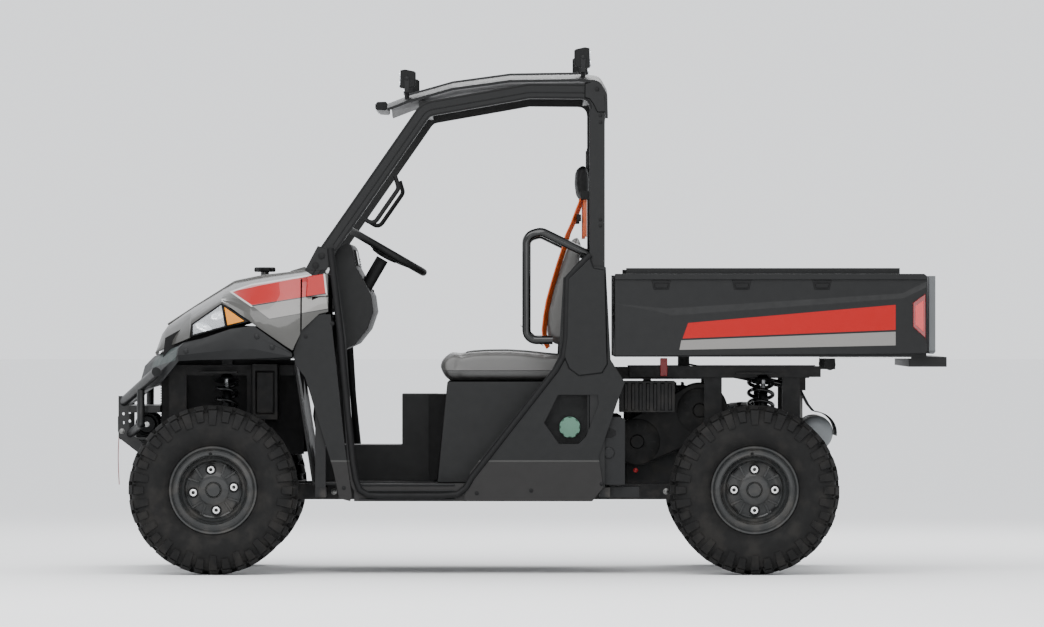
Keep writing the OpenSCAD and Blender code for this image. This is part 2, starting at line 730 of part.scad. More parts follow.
seat_y = [for (s = [-1, 1]) s * (seat_w / 2 + 30)];
cushion_bottom = seat_h - cushion_t;
seat_back_x = x_pillar + 116;

module seat_base() {
    w = well_y - panel_t;
    t = 6;
    outline = [[seat_front, floor_h + 1], [seat_front - 38, cushion_bottom - 1],
        [cab_back, cushion_bottom - 1], [cab_back, floor_h + 1]];
    inside = [[seat_front - t, floor_h - 5], [seat_front - 38 - t, cushion_bottom - 1 - t],
        [cab_back + t, cushion_bottom - 1 - t], [cab_back + t, floor_h - 5]];
    color("#202123") difference() {
        side_plate(outline, [-w, w]);
        side_plate(inside, [-w + t, w - t]);
    }
}

module seat_cushions() {
    x0 = seat_back_x - 160;
    x1 = seat_front + 5;
    color("#5d5e5f") for (y = seat_y) side_plate(rounded([
        [x0, cushion_bottom], [x1 - 28, cushion_bottom], [x1, cushion_bottom + 34], [x1 - 16, seat_h - 16],
        [x1 - 70, seat_h - 4], [x1 - 200, seat_h], [x1 - 330, seat_h - 12], [x0, seat_h - 18]
    ], 8, 3), [y - seat_w / 2 + 4, y + seat_w / 2 - 4]);
}

module seat_backs() {
    b = seat_h + 4;
    color("#565758") for (y = seat_y) side_plate(rounded([
        [seat_back_x + 2, b], [seat_back_x + 42, b + 26], [seat_back_x + 42, b + 90],
        [seat_back_x - 30, b + 330], [seat_back_x - 62, b + 444], [seat_back_x - 84, b + 452],
        [seat_back_x - 94, b + 430], [seat_back_x - 62, b + 120], [seat_back_x - 62, b]
    ], 7, 3), [y - seat_w / 2 + 14, y + seat_w / 2 - 14]);
}

module headrests() {
    color("#1b1c1d") for (y = seat_y) union() {
        side_plate(rounded([
            [x_pillar + 2, 1420], [x_pillar + 30, 1432], [x_pillar + 50, 1470], [x_pillar + 46, 1560],
            [x_pillar + 20, 1572], [x_pillar + 2, 1560]
        ], 10, 3), [y - 130, y + 130]);
        for (s = [-1, 1]) translate([x_pillar, y + s * 60, 0]) slab([-11, 6], [-14, 14], [1550, 1628]);
    }
}

// Three-point belts: from the pillar guide over the seat back to the buckle by the middle of the cab
belt_w = 46;
belt_t = 2.4;
module seat_belts() {
    b = seat_h + 4;
    both_sides() {
        y_out = seat_y[1] + seat_w / 2 - 60;
        y_in = seat_y[1] - seat_w / 2 + 50;
        color("#d9541e") sweep([
            [x_pillar + 10, y_out + 20, 1420], [x_pillar + 72, y_out + 14, b + 446],
            [seat_back_x - 10, y_out - 2, b + 330], [seat_back_x + 54, y_out - 16, b + 130],
            [seat_back_x + 64, y_out - 22, b + 60]
        ], flat(belt_w, belt_t), [1, 0, 0.3]);
        color("#141516") translate([seat_back_x + 72, y_in - 30, seat_h + 34])
            rotate([0, 12, 0]) slab([0, 78], [-16, 16], [-20, 22]);
    }
}

// Hip bars: one bent tube each side, from the pillar's shoulder to the quarter panel
module hip_bars() {
    y = tube_in - hip_bar_d / 2 - 3;
    x = seat_back_x + 122;
    path = rounded([
        [x_pillar - 4, y, 1216], [x - 56, y, 1306], [x, y, 1290], [x, y, 892], [x - 100, y, 892]
    ], 38, 6);
    color("#1c1d1f") both_sides() pipe(path, hip_bar_d);
}

// ---------------------------------------------------------------- nose

// Hood stations from the nose backwards: offset from the front axle, middle height,
// shoulder half width and height, and the height of the side's lower edge
hood_stations = [
    [231, 850, 420, 845, 843], [206, 926, 428, 914, 856], [187, 954, 436, 940, 864],
    [118, 1004, 486, 982, 890], [94, 1020, 506, 996, 900], [88, 1024, 512, 1000, 952],
    [-30, 1098, 590, 1062, 1032], [-70, 1124, 604, 1078, 1012], [-140, 1138, 616, 1092, 962],
    [-174, 1144, 622, 1100, 938], [-270, 1155, 630, 1118, 872], [-300, 1158, 634, 1124, 853],
    [-338, 1163, 638, 1130, 932], [-402, 1170, 642, 1140, 992], [-436, 1174, 645, 1146, 1000]
];
hood_t = 5;
function hood_side(dx) = lookup(dx, [[-436, fender_half - 38], [-300, fender_half - 22],
    [-140, fender_half - 26], [0, fender_half - 46], [94, fender_half - 104], [231, fender_half - 260]]);
function hood_point(s, f) =
    let (
        a = abs(f), sign = f < 0 ? -1 : 1, top = min(a / 0.6, 1), side = max((a - 0.6) / 0.4, 0),
        y = side > 0 ? s[2] + (max(hood_side(s[0]), s[2] + 6) - s[2]) * sin(90 * side) : s[2] * top,
        z = side > 0 ? s[3] + (s[4] - s[3]) * side : s[1] + (s[3] - s[1]) * pow(top, 2.4)
    ) [x_fa + s[0], sign * y, z];
module hood_skin() {
    steps = [-1, -0.92, -0.84, -0.76, -0.68, -0.6, -0.45, -0.3, -0.15, 0,
        0.15, 0.3, 0.45, 0.6, 0.68, 0.76, 0.84, 0.92, 1];
    sheet([for (f = steps) [for (s = hood_stations) hood_point(s, f)]], hood_t);
}
// The corners under the front pillars stay on the vehicle when the hood opens
corner_x = x_cowl + 108;
corner_y = tube_in - moving_gap;
hood_hinge = [x_fa + 232, 838];
module hood() {
    color("#7d7d79") union() {
        difference() {
            hood_skin();
            both_sides() slab([x_cowl - 30, corner_x], [corner_y, fender_half + 20], [900, 1200]);
        }
        translate([x_fa - 176, 0, 1140]) {
            cylinder(h = 22, r = 16);
            slab([-32, 32], [-14, 14], [14, 30]);
        }
        for (y = [-240, 240]) {
            across([hood_hinge.x, y, hood_hinge.y], 5, 60);
            translate([hood_hinge.x, y, hood_hinge.y]) slab([-6, -1], [-28, 28], [1, 9]);
        }
    }
}
module hood_corners() {
    color("#7d7d79") both_sides() difference() {
        intersection() {
            hood_skin();
            slab([x_cowl - 30, corner_x - moving_gap], [corner_y + moving_gap, fender_half + 20],
                [900, 1200]);
        }
        // The pillar's foot stands through it
        slab([foot_post_x - 23, foot_post_x + 32], [tube_in - 1, tube_out + 2], [900, 1200]);
    }
}

// Front fascia: an outline seen from above, with a lower and an upper edge at each of its points
fascia_t = 5;
fascia_plan = [
    [-300, 0, 821, 846, 0], [-145, 4, 821, 950, 8], [-53, 2, 818, 938, 14], [60, 0, 816, 902, 20],
    [136, -2, 812, 886, 24], [170, -60, 775, 872, 34], [206, -160, 735, 862, 40],
    [248, -270, 712, 848, 46], [290, -390, 700, 832, 50]
];
grille_half = 322;
function fascia_row(p, s) =
    let (x = x_fa + p[0], y = fender_half + p[1])
    [[x - p[4] * 0.2, s * (y - 14), p[2]], [x, s * y, p[2] + (p[3] - p[2]) * 0.3],
     [x - p[4] * 0.3, s * (y - 2), p[2] + (p[3] - p[2]) * 0.7],
     [x - p[4], s * (y - 6 - p[4] * 0.4), p[3] - 3]];
module front_fascia() {
    n = len(fascia_plan) - 1;
    right_side = [for (i = [0:n]) fascia_row(fascia_plan[i], -1)];
    left_side = [for (i = [n:-1:0]) fascia_row(fascia_plan[i], 1)];
    color("#2a2c2e") union() {
        difference() {
            sheet(concat(right_side, left_side), fascia_t);
            slab([x_fa + 200, x_fa + 320], [-grille_half - 8, grille_half + 8], [736, 812]);
        }
        // Roofs of the wheel arches
        both_sides() {
            slab([x_fa - 298, x_fa + 130], [frame_half - 44, fender_half - 22], [arch_z + 1, arch_z + 6]);
            slab([x_fa - 60, x_fa - 20], [frame_half - 40, frame_half - 8], [tower_h, arch_z + 2]);
        }
    }
}

module grille() {
    color("#56605c") union() {
        for (z = [742:14:798]) slab([x_fa + 250, x_fa + 266], [-grille_half, grille_half], [z, z + 5]);
        for (k = [-2:2]) translate([x_fa + 254, k * (grille_half - 8) / 2, 740]) cube([8, 6, 68]);
    }
}

// Lamps: flat units set flush in the hood's flanks, angled towards the front
module headlights() {
    lens = [[-135, 962], [-31, 1030], [84, 950], [84, 912], [-50, 944]];
    color("#c9d2d6") both_sides()
        translate([x_fa, fender_half - 54, 0]) rotate([0, 0, -18])
            side_plate(grown(lens, -7), [-26, 0]);
}

module radiator() {
    color("#111213") slab([x_fa + 180, x_fa + 216], [-250, 250], [440, tower_h - 36]);
}

// Bumper: two bent side plates, tubes between and above them, and the winch's tray
plate_y = frame_half - rail_w;
bumper_front = x_nose - 17;
bumper_hole_z = [573, 607];
module bumper() {
    r = bumper_tube_d / 2;
    plate = strip([[bumper_front, 676], [bumper_front, 516], [bumper_front - 150, 400]], -40);
    root = [bumper_front - 22, plate_y + 2, 655];
    wing = [x_fa + 220, fender_half - 118, 770];
    // A brace drops from each wing tube and bends in to the plate
    brace_top = root + (wing - root) * 0.52;
    brace_bend = [bumper_front - 93, brace_top.y - 10, 567];
    color("#2b2d2f") union() {
        difference() {
            both_sides() side_plate(plate, [plate_y, plate_y + 8]);
            for (z = bumper_hole_z) across([bumper_front - 20, 0, z], 5.5, 2 * plate_y + 40);
        }
        across(root - [0, root.y, 0], r, 2 * plate_y + 12);
        slab([bumper_front - 120, bumper_front - 4], [-plate_y - 2, plate_y + 2], [508, 517]);
        slab([bumper_front - 160, bumper_front - 38], [-plate_y - 3, plate_y + 3], [612, 639]);
        both_sides() {
            bar(root, wing, r);
            bar(brace_top, brace_bend, r - 4);
            translate(brace_bend) sphere(r = r - 2);
            bar(brace_bend, [bumper_front - 46, plate_y + 4, 531], r - 4);
            slab([frame_front - 70, frame_front - 20], [plate_y, plate_y + 8], [rail_top, 440]);
        }
    }
}

module winch() {
    c = [bumper_front - 108, 0, 566];
    color("#1d1f21") {
        across(c, 36, 300);
        both_sides() slab([c.x - 44, c.x + 44], [150, 190], [517, 612]);
        across(c + [0, 210, 0], 36, 38);
    }
    color("#2d3033") slab([bumper_front - 3, bumper_front + 4], [-80, 80], [530, 600]);
    color("#8a1f1c") slab([bumper_front + 5, x_nose], [-14, 14], [540, 590]);
}

// ---------------------------------------------------------------- power train

module engine() {
    color("#2e3032") slab([x_ra + 240, x_pillar - 140], [-190, 180], [rail_top - 10, 715]);
}

module clutch_cover() {
    color("#191a1b") hull() {
        across([x_ra + 441, 235, 500], 92, 90);
        across([x_ra + 200, 235, 620], 108, 90);
    }
}

module driveline() {
    color("#3b3d3f") {
        diff_case(x_ra, [-110, 110], 150, 130);
        diff_case(x_fa, [-54, 84], 90, 120);
    }
    color("#202224") both_sides() {
        half_shaft(x_fa, 97);
        half_shaft(x_ra, 157);
    }
}
module diff_case(xa, x, half, h) {
    slab([xa + x[0], xa + x[1]], [-half, half], [ground_clearance + 3, axle_z + h]);
    slab([xa + 52, xa + 80], [-frame_half + rail_w, frame_half - rail_w],
        [ground_clearance + 10, axle_z - 12]);
}
// A half shaft slopes from the final drive over the rail and down to the wheel
module half_shaft(xa, y) {
    inboard = [xa, y, rail_top + 51];
    outboard = [xa, kingpin_y - upright_in - 24, axle_z];
    l = norm(outboard - inboard);
    v = unit(outboard - inboard);
    translate(inboard) rotate([0, acos(v.z), atan2(v.y, v.x)]) {
        cylinder(h = l, r = 13);
        cylinder(h = 80, r1 = 38, r2 = 20);
        translate([0, 0, l - 70]) cylinder(h = 70, r1 = 20, r2 = 36);
    }
}

muffler = [x_ra - 248, 0, 532];
module exhaust() {
    color("#9aa0a3") across(muffler, 66, 420);
    color("#4b4d4f") {
        bar(muffler + [30, 100, 30], [x_ra + 230, 100, 640], 22);
        slab([muffler.x + 44, muffler.x + 60], [-8, 8], [muffler.z + 34, box_rail_top - 42]);
    }
}

// Air cleaner housing, hung under the rail on the left
module air_box() {
    x = [x_pillar - 330, x_pillar - 117];
    y = frame_half + 10;
    color("#1c1e1f") union() {
        slab(x, [y, y + 190], [616, 735]);
        for (k = [0:6]) translate([x[0] + 14 + 28 * k, y, 0]) slab([0, 12], [186, 196], [624, 726]);
        slab([x[0] + 90, x[0] + 120], [y + 4, y + 20], [734, box_rail_top - box_rail_h]);
    }
}

// Fuse and relay housings on the rear posts of the front tower
module electrics_box() {
    color("#1a1b1c") both_sides() difference() {
        slab([x_fa - 240, x_fa - 136], [frame_half, frame_half + 96], [586, tower_h + 6]);
        slab([x_fa - 222, x_fa - 154], [frame_half + 84, frame_half + 100], [610, 770]);
    }
}

module release_lever() {
    color("#b3262a") slab([x_ra + 326, x_ra + 354], [frame_half + 41, frame_half + 49], [752, 822]);
}

// ---------------------------------------------------------------- cargo box

hinge_lug_y = frame_half + 22;
module cargo_box() {
    inner = bed_half - 40;
    color("#232527") union() {
        slab([bed_rear, bed_front], [-inner, inner], [bed_bottom, bed_bottom + bed_wall]);
        slab([bed_front - bed_wall, bed_front], [-inner, inner], [bed_bottom, bed_top - 6]);
        both_sides() {
            slab([bed_rear, bed_front], [inner - bed_wall, inner], [bed_bottom, bed_top - 6]);
            // Hinge lug with its pin through the frame's ear
            slab([pivot_x - 20, pivot_x + 20], [hinge_lug_y, hinge_lug_y + 10],
                [pivot_z - 18, bed_bottom + 1]);
            across([pivot_x, (frame_half + hinge_lug_y) / 2 + 2, pivot_z], bed_pin_r,
                hinge_lug_y - frame_half + 10);
        }
        slab([x_ra - rear_overhang, bed_rear + 66], [-bed_half + 60, bed_half - 60],
            [bed_bottom - 38, bed_bottom]);
        // Clevis of the lift strut
        for (s = [-1, 1]) translate([0, strut_y + s * (rod_eye_l / 2 + 9), 0])
            slab([strut_high.x - 22, strut_high.x + 22], [-3, 3], [strut_high.z - 20, bed_bottom]);
        // Lips that stand above the side panels between the corners
        both_sides() slab([bed_rear + 101, bed_front - 43], [inner - bed_wall, inner - 6],
            [bed_top - 7, bed_top + 22]);
    }
}

module box_side_panels() {
    t = panel_t;
    inner = bed_half - 40;
    z0 = bed_bottom + 2;
    color("#292b2d") both_sides() union() {
        side_plate([
            [bed_front, z0], [bed_front, bed_top], [bed_rear, bed_top], [bed_rear, z0 + 12]
        ], [bed_half - t, bed_half]);
        slab([bed_rear, bed_front], [inner, bed_half - t + 1], [bed_top - t, bed_top]);
        slab([bed_front - t, bed_front], [inner, bed_half - t + 1], [z0, bed_top]);
    }
}

module tail_lights() {
    x = bed_rear + 4;
    z = bed_bottom + 168;
    color("#c01f24") both_sides()
        side_plate([[x, z - 84], [x, z + 84], [x + 50, z + 56], [x + 50, z - 40]],
            [bed_half + 0.5, bed_half + 8]);
}

module tailgate() {
    w = bed_half - 12;
    color("#8d9092") union() {
        translate([gate_hinge_x, 0, 0]) slab([-gate_t / 2, gate_t / 2], [-w, w], [gate_hinge_z, bed_top - 8]);
        across([gate_hinge_x, 0, gate_hinge_z], gate_t / 2 + 1, 2 * w - 20);
        slab([gate_hinge_x - gate_t / 2 - 12, gate_hinge_x], [-90, 90], [bed_top - 90, bed_top - 40]);
    }
}

// ---------------------------------------------------------------- lift strut

strut_y = frame_half - 120;
strut_low = [pivot_x + 150, strut_y, pivot_z - 82];
strut_high = [pivot_x + 560, strut_y, pivot_z];
strut_pin_r = 8;
strut_tube_l = 250;
rod_eye_l = 20;
strut_dir = unit(strut_high - strut_low);
module lift_strut_tube() {
    color("#1a1b1c") difference() {
        union() {
            bar(strut_low + 14 * strut_dir, strut_low + strut_tube_l * strut_dir, 14);
            across(strut_low, 18, 18);
        }
        bar(strut_low + 60 * strut_dir, strut_low + (strut_tube_l + 10) * strut_dir,
            strut_pin_r + pin_clearance);
        across(strut_low, strut_pin_r + pin_clearance, 40);
    }
}
module lift_strut_rod() {
    color("#8f9395") union() {
        bar(strut_low + 68 * strut_dir, strut_high - 12 * strut_dir, strut_pin_r);
        difference() {
            across(strut_high, 15, rod_eye_l);
            across(strut_high, strut_pin_r + 1, 40);
        }
    }
}

// ---------------------------------------------------------------- output

frame();
front_tower();
rear_tower();
rack_housing();
floor();
front_fascia();
grille();
headlights();
cowl_panels();
quarter_panels();
fuel_cap();
dashboard();
steering_column();
seat_base();
seat_cushions();
seat_backs();
headrests();
seat_belts();
hip_bars();
cab_frame();
roof();
roof_lights();
grab_handles();
bumper();
winch();
suspension_arms();
shock_absorbers();
rear_hubs();
engine();
clutch_cover();
air_box();
electrics_box();
driveline();
exhaust();
radiator();
release_lever();
hood_corners();
hood();
steering_knuckle_left();
steering_knuckle_right();
steering_wheel();
tie_rods();
tyre_front_left();
rim_front_left();
tyre_front_right();
rim_front_right();
tyre_rear_left();
rim_rear_left();
tyre_rear_right();
rim_rear_right();
cargo_box();
box_side_panels();
tail_lights();
tailgate();
lift_strut_tube();
lift_strut_rod();
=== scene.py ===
# The looks of a two-seat utility terrain vehicle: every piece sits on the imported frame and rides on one
# of its bodies. Metres, +X forwards, +Y to the vehicle's left, +Z up.
import json
import math

import bmesh
import bpy
from mathutils import Matrix, Vector

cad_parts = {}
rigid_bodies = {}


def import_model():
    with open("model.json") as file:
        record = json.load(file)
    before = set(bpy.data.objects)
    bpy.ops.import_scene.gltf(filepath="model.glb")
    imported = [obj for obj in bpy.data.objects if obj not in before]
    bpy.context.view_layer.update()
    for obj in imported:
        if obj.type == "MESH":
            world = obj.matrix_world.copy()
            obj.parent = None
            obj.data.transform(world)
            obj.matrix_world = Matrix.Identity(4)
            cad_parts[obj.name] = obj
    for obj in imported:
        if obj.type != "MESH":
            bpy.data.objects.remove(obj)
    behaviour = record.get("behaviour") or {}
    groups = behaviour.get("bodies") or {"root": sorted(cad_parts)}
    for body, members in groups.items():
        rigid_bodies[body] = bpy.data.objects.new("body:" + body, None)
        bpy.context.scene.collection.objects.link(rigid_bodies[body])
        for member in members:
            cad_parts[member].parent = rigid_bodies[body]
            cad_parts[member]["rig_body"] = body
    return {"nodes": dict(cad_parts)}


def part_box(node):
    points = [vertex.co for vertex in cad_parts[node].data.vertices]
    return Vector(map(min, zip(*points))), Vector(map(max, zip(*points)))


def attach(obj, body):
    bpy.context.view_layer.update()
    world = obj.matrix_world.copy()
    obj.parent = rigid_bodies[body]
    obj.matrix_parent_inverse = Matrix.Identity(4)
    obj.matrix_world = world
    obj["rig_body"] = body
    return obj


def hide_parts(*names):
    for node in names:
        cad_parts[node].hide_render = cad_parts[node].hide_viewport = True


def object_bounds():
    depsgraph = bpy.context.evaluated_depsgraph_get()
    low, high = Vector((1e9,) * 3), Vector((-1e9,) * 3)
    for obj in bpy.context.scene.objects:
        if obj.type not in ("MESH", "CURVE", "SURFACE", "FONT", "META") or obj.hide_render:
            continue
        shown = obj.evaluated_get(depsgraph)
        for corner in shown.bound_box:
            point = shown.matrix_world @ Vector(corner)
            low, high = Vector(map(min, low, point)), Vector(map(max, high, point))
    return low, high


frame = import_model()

cad_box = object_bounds()
nodes = frame["nodes"]


# ---------------------------------------------------------------- camera
# A long lens looks square at the vehicle's left side from far away, a little above the wheels' tops,
# so that the side shows almost without perspective.
view_distance = 35.0
camera_data = bpy.data.cameras.new("camera")
camera_data.sensor_width = 36
camera_data.lens = 318.3
camera_data.clip_end = 200
camera = bpy.data.objects.new("camera", camera_data)
camera.location = (0.023, cad_box[1][1] + view_distance, 0.993)
camera.rotation_euler = (math.radians(90), 0, math.radians(180))
bpy.context.scene.collection.objects.link(camera)
bpy.context.scene.camera = camera


# ---------------------------------------------------------------- floor and light
# A wide matt white studio floor under a pale sky, one broad soft light over the near side, one behind
# for the edges and a low fill for the wheel arches.
class Socket:
    """A number in a material's nodes; arithmetic on it adds Math nodes."""

    def __init__(self, paint, port):
        self.paint, self.port = paint, port

    def math(self, operation, *terms):
        return self.paint.node("ShaderNodeMath", {"operation": operation}, dict(enumerate(terms)))

    def __add__(self, other):
        return self.math("ADD", self, other)

    def __sub__(self, other):
        return self.math("SUBTRACT", self, other)

    def __rsub__(self, other):
        return self.math("SUBTRACT", other, self)

    def __mul__(self, other):
        return self.math("MULTIPLY", self, other)

    def __truediv__(self, other):
        return self.math("DIVIDE", self, other)

    def __abs__(self):
        return self.math("ABSOLUTE", self)

    def fraction(self):
        return self.math("FRACT", self)

    def ramp(self, low, high):
        """0 below low, 1 above high and a smooth step between them."""
        return self.paint.node("ShaderNodeMapRange", {"interpolation_type": "SMOOTHSTEP"},
                               {"Value": self, "From Min": low, "From Max": high})

    __radd__ = __add__
    __rmul__ = __mul__


class Paint:
    """One material and a slot name that it stores. node() adds any node; shade() sets the shader's sockets.
    """

    def __init__(self, name, slot=None):
        self.slot = slot
        self.material = bpy.data.materials.new(name)
        self.material.use_nodes = True
        self.tree = self.material.node_tree
        self.shader = self.tree.nodes["Principled BSDF"]
        self.place = self.node("ShaderNodeTexCoord", output="Object")
        self.x, self.y, self.z = self.node("ShaderNodeSeparateXYZ", values={0: self.place},
                                           output=("X", "Y", "Z"))

    def node(self, kind, settings=None, values=None, output=0):
        node = self.tree.nodes.new(kind)
        for key, value in (settings or {}).items():
            setattr(node, key, value)
        for key, value in (values or {}).items():
            self.put(node.inputs[key], value)
        if isinstance(output, tuple):
            return [Socket(self, node.outputs[name]) for name in output]
        return Socket(self, node.outputs[output])

    def put(self, port, value):
        if isinstance(value, Socket):
            self.tree.links.new(value.port, port)
        elif port.type == "RGBA":
            port.default_value = (*value, 1)
        else:
            port.default_value = value

    def noise(self, scale, detail=3, place=None):
        return self.node("ShaderNodeTexNoise", values={"Vector": place or self.place, "Scale": scale,
                                                       "Detail": detail})

    def mix(self, share, first, second):
        return self.node("ShaderNodeMix", {"data_type": "RGBA"}, {0: share, 6: first, 7: second}, 2)

    def shade(self, **values):
        for key, value in values.items():
            self.put(self.shader.inputs[key.replace("_", " ")], value)

    def relief(self, height, depth):
        """Bumps of the given depth in metres where height goes from 0 to 1."""
        self.shade(Normal=self.node("ShaderNodeBump", values={"Height": height, "Distance": depth}))


def coating(name, colour, rough, grain=900, depth=0.0002, mottle=0.16, dust=0.0, metal=0.0, coat=0.0,
            slot=None):
    """A paint or a moulding: clouded colour, uneven gloss, fine grain and a film of dust low down."""
    paint = Paint(name, slot)
    cloud = paint.noise(4.5, 4)
    deep = tuple(c * (1 - mottle) for c in colour)
    light = tuple(c * (1 + mottle) for c in colour)
    tone = paint.mix(cloud, deep, light)
    gloss = rough + (paint.noise(38, 3) - 0.5) * 0.22
    if dust:
        film = paint.z.ramp(1.15, 0.15) * paint.noise(17, 6).ramp(0.42, 0.72) * dust
        tone = paint.mix(film, tone, (0.085, 0.076, 0.066))
        gloss = gloss + film * 0.3
    paint.shade(Base_Color=tone, Roughness=gloss, Metallic=metal, Coat_Weight=coat, Specular_IOR_Level=0.22)
    paint.relief(paint.noise(grain, 2), depth)
    return paint


studio = coating("studio_floor", (0.92, 0.92, 0.92), 0.8, grain=60, depth=0.0005, mottle=0.01)
bpy.ops.mesh.primitive_grid_add(x_subdivisions=2, y_subdivisions=2, size=400)
floor_sheet = bpy.context.object
floor_sheet.name = "studio_floor"
floor_sheet.data.materials.append(studio.material)


def soft_light(name, place, aim, size, watts):
    data = bpy.data.lights.new(name, "AREA")
    data.shape = "RECTANGLE"
    data.size, data.size_y = size
    data.energy = watts
    lamp = bpy.data.objects.new(name, data)
    lamp.location = place
    lamp.rotation_euler = (Vector(aim) - Vector(place)).to_track_quat("-Z", "Y").to_euler()
    bpy.context.scene.collection.objects.link(lamp)


soft_light("key", (1.6, 5.2, 5.4), (0, 0, 0.7), (6.5, 3.5), 430)
soft_light("rim", (-1.5, -5.5, 5.0), (0, 0, 0.9), (6.0, 3.0), 260)
soft_light("fill", (0.0, 8.0, 1.1), (0, 0, 0.8), (7.0, 1.6), 90)
sky = bpy.data.worlds.new("studio")
sky.use_nodes = True
sky.node_tree.nodes["Background"].inputs["Color"].default_value = (0.95, 0.97, 1.0, 1)
sky.node_tree.nodes["Background"].inputs["Strength"].default_value = 1.5
bpy.context.scene.world = sky


# ---------------------------------------------------------------- chassis frame
# Welded box-section rails and the two towers that carry the arms, in black powder coat over steel, with
# zinc-plated flange bolts at the joints.
class Solid:
    """Collects the faces of one piece in metres, then builds it."""

    def __init__(self):
        self.points, self.faces = [], []

    def add(self, points, faces):
        start = len(self.points)
        self.points += [Vector(p) for p in points]
        self.faces += [[start + i for i in face] for face in faces]
        return self

    def loft(self, rings, wrap=True, caps=True):
        """Skins rings of equal length, each closed if wrap, with flat ends if caps."""
        n = len(rings[0])
        faces = []
        for k in range(len(rings) - 1):
            for i in range(n if wrap else n - 1):
                j = (i + 1) % n
                faces.append((k * n + i, k * n + j, (k + 1) * n + j, (k + 1) * n + i))
        if caps:
            faces.append(tuple(range(n))[::-1])
            faces.append(tuple((len(rings) - 1) * n + i for i in range(n)))
        return self.add([p for ring in rings for p in ring], faces)

    def plate(self, outline, low, high, inset=0.0):
        """A side-view outline, in X and Z, that runs from low to high in Y; its high end is smaller
        by inset all round."""
        top = shrunk(outline, inset) if inset else outline
        return self.loft([[(x, low, z) for x, z in outline], [(x, high, z) for x, z in top]])

    def block(self, low, high):
        (a, b, c), (d, e, f) = low, high
        return self.loft([[(a, b, c), (d, b, c), (d, e, c), (a, e, c)],
                          [(a, b, f), (d, b, f), (d, e, f), (a, e, f)]])

    def lathe(self, profile, centre, axis, steps=48):
        """Turns (distance along the axis, radius) points round an axis through the centre."""
        turn = Vector(axis).to_track_quat("Z", "Y")
        rings = []
        for k in range(steps):
            a = 2 * math.pi * k / steps
            rings.append([Vector(centre) + turn @ Vector((r * math.cos(a), r * math.sin(a), h))
                          for h, r in profile])
        rings.append(rings[0])
        return self.loft(rings, wrap=False, caps=False)

    def tube(self, path, radius, sides=16):
        """A round bar along a path, with a radius for all of it or for each point."""
        path = [Vector(p) for p in path]
        sizes = radius if isinstance(radius, list) else [radius] * len(path)
        side = None
        rings = []
        for k, p in enumerate(path):
            ahead = (path[min(k + 1, len(path) - 1)] - path[max(k - 1, 0)]).normalized()
            if side is None:
                side = ahead.orthogonal().normalized()
            side = (side - ahead * side.dot(ahead)).normalized()
            up = ahead.cross(side)
            rings.append([p + sizes[k] * (side * math.cos(2 * math.pi * i / sides)
                                          + up * math.sin(2 * math.pi * i / sides))
                          for i in range(sides)])
        return self.loft(rings)

    def mirror(self):
        """Adds the same on the vehicle's other side."""
        return self.add([(p.x, -p.y, p.z) for p in self.points], [f[::-1] for f in self.faces])

    def build(self, name, paint, replaces=(), bevel=0.0, angle=35, rounds=2, body="chassis", slot=None):
        mesh = bpy.data.meshes.new(name)
        mesh.from_pydata(self.points, [], self.faces)
        return dressed(name, mesh, paint, replaces, bevel, angle, rounds, body)


def shrunk(outline, inset):
    """An outline with every edge moved inwards."""
    n = len(outline)
    area = sum(outline[i - 1][0] * outline[i][1] - outline[i][0] * outline[i - 1][1] for i in range(n))
    inset *= 1 if area > 0 else -1
    normals = []
    for i in range(n):
        d = Vector(outline[(i + 1) % n]) - Vector(outline[i])
        normals.append(Vector((-d.y, d.x)).normalized())
    return [tuple(Vector(outline[i]) + inset * (normals[i - 1] + normals[i])
                  / max(0.4, 1 + normals[i - 1].dot(normals[i]))) for i in range(n)]


def dressed(name, mesh, paint, replaces, bevel, angle, rounds, body):
    """Turns a mesh into a finished piece: merged, facing outwards, bevelled, painted and riding."""
    work = bmesh.new()
    work.from_mesh(mesh)
    bmesh.ops.remove_doubles(work, verts=work.verts, dist=2e-5)
    bmesh.ops.dissolve_degenerate(work, edges=work.edges, dist=1e-5)
    bmesh.ops.recalc_face_normals(work, faces=work.faces)
    work.to_mesh(mesh)
    work.free()
    mesh.shade_smooth()
    mesh.set_sharp_from_angle(angle=math.radians(angle))
    mesh.materials.clear()
    mesh.materials.append(paint.material)
    piece = bpy.data.objects.new(name, mesh)
    bpy.context.scene.collection.objects.link(piece)
    if bevel:
        edge = piece.modifiers.new("edge", "BEVEL")
        edge.width = bevel
        edge.segments = rounds
        edge.limit_method = "ANGLE"
        edge.angle_limit = math.radians(angle)
        edge.harden_normals = True
    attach(piece, body)
    if replaces:
        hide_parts(*replaces)
    return piece


def refined(node, paint, bevel, angle=35, rounds=2):
    """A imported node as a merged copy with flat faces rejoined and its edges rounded."""
    mesh = nodes[node].data.copy()
    work = bmesh.new()
    work.from_mesh(mesh)
    bmesh.ops.remove_doubles(work, verts=work.verts, dist=2e-5)
    bmesh.ops.dissolve_limit(work, angle_limit=math.radians(1), verts=work.verts, edges=work.edges)
    work.to_mesh(mesh)
    work.free()
    for layer in list(mesh.attributes):
        if layer.name == "custom_normal":
            mesh.attributes.remove(layer)
    return dressed(node + "_finished", mesh, paint, [node], bevel, angle, rounds, nodes[node]["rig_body"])


powder_coat = coating("powder_coat", (0.0031, 0.0032, 0.0035), 0.46, grain=1500, depth=0.00012, dust=0.35,
                      slot="frame_steel")
for name in ("frame", "front_tower", "rear_tower"):
    refined(name, powder_coat, 0.003)


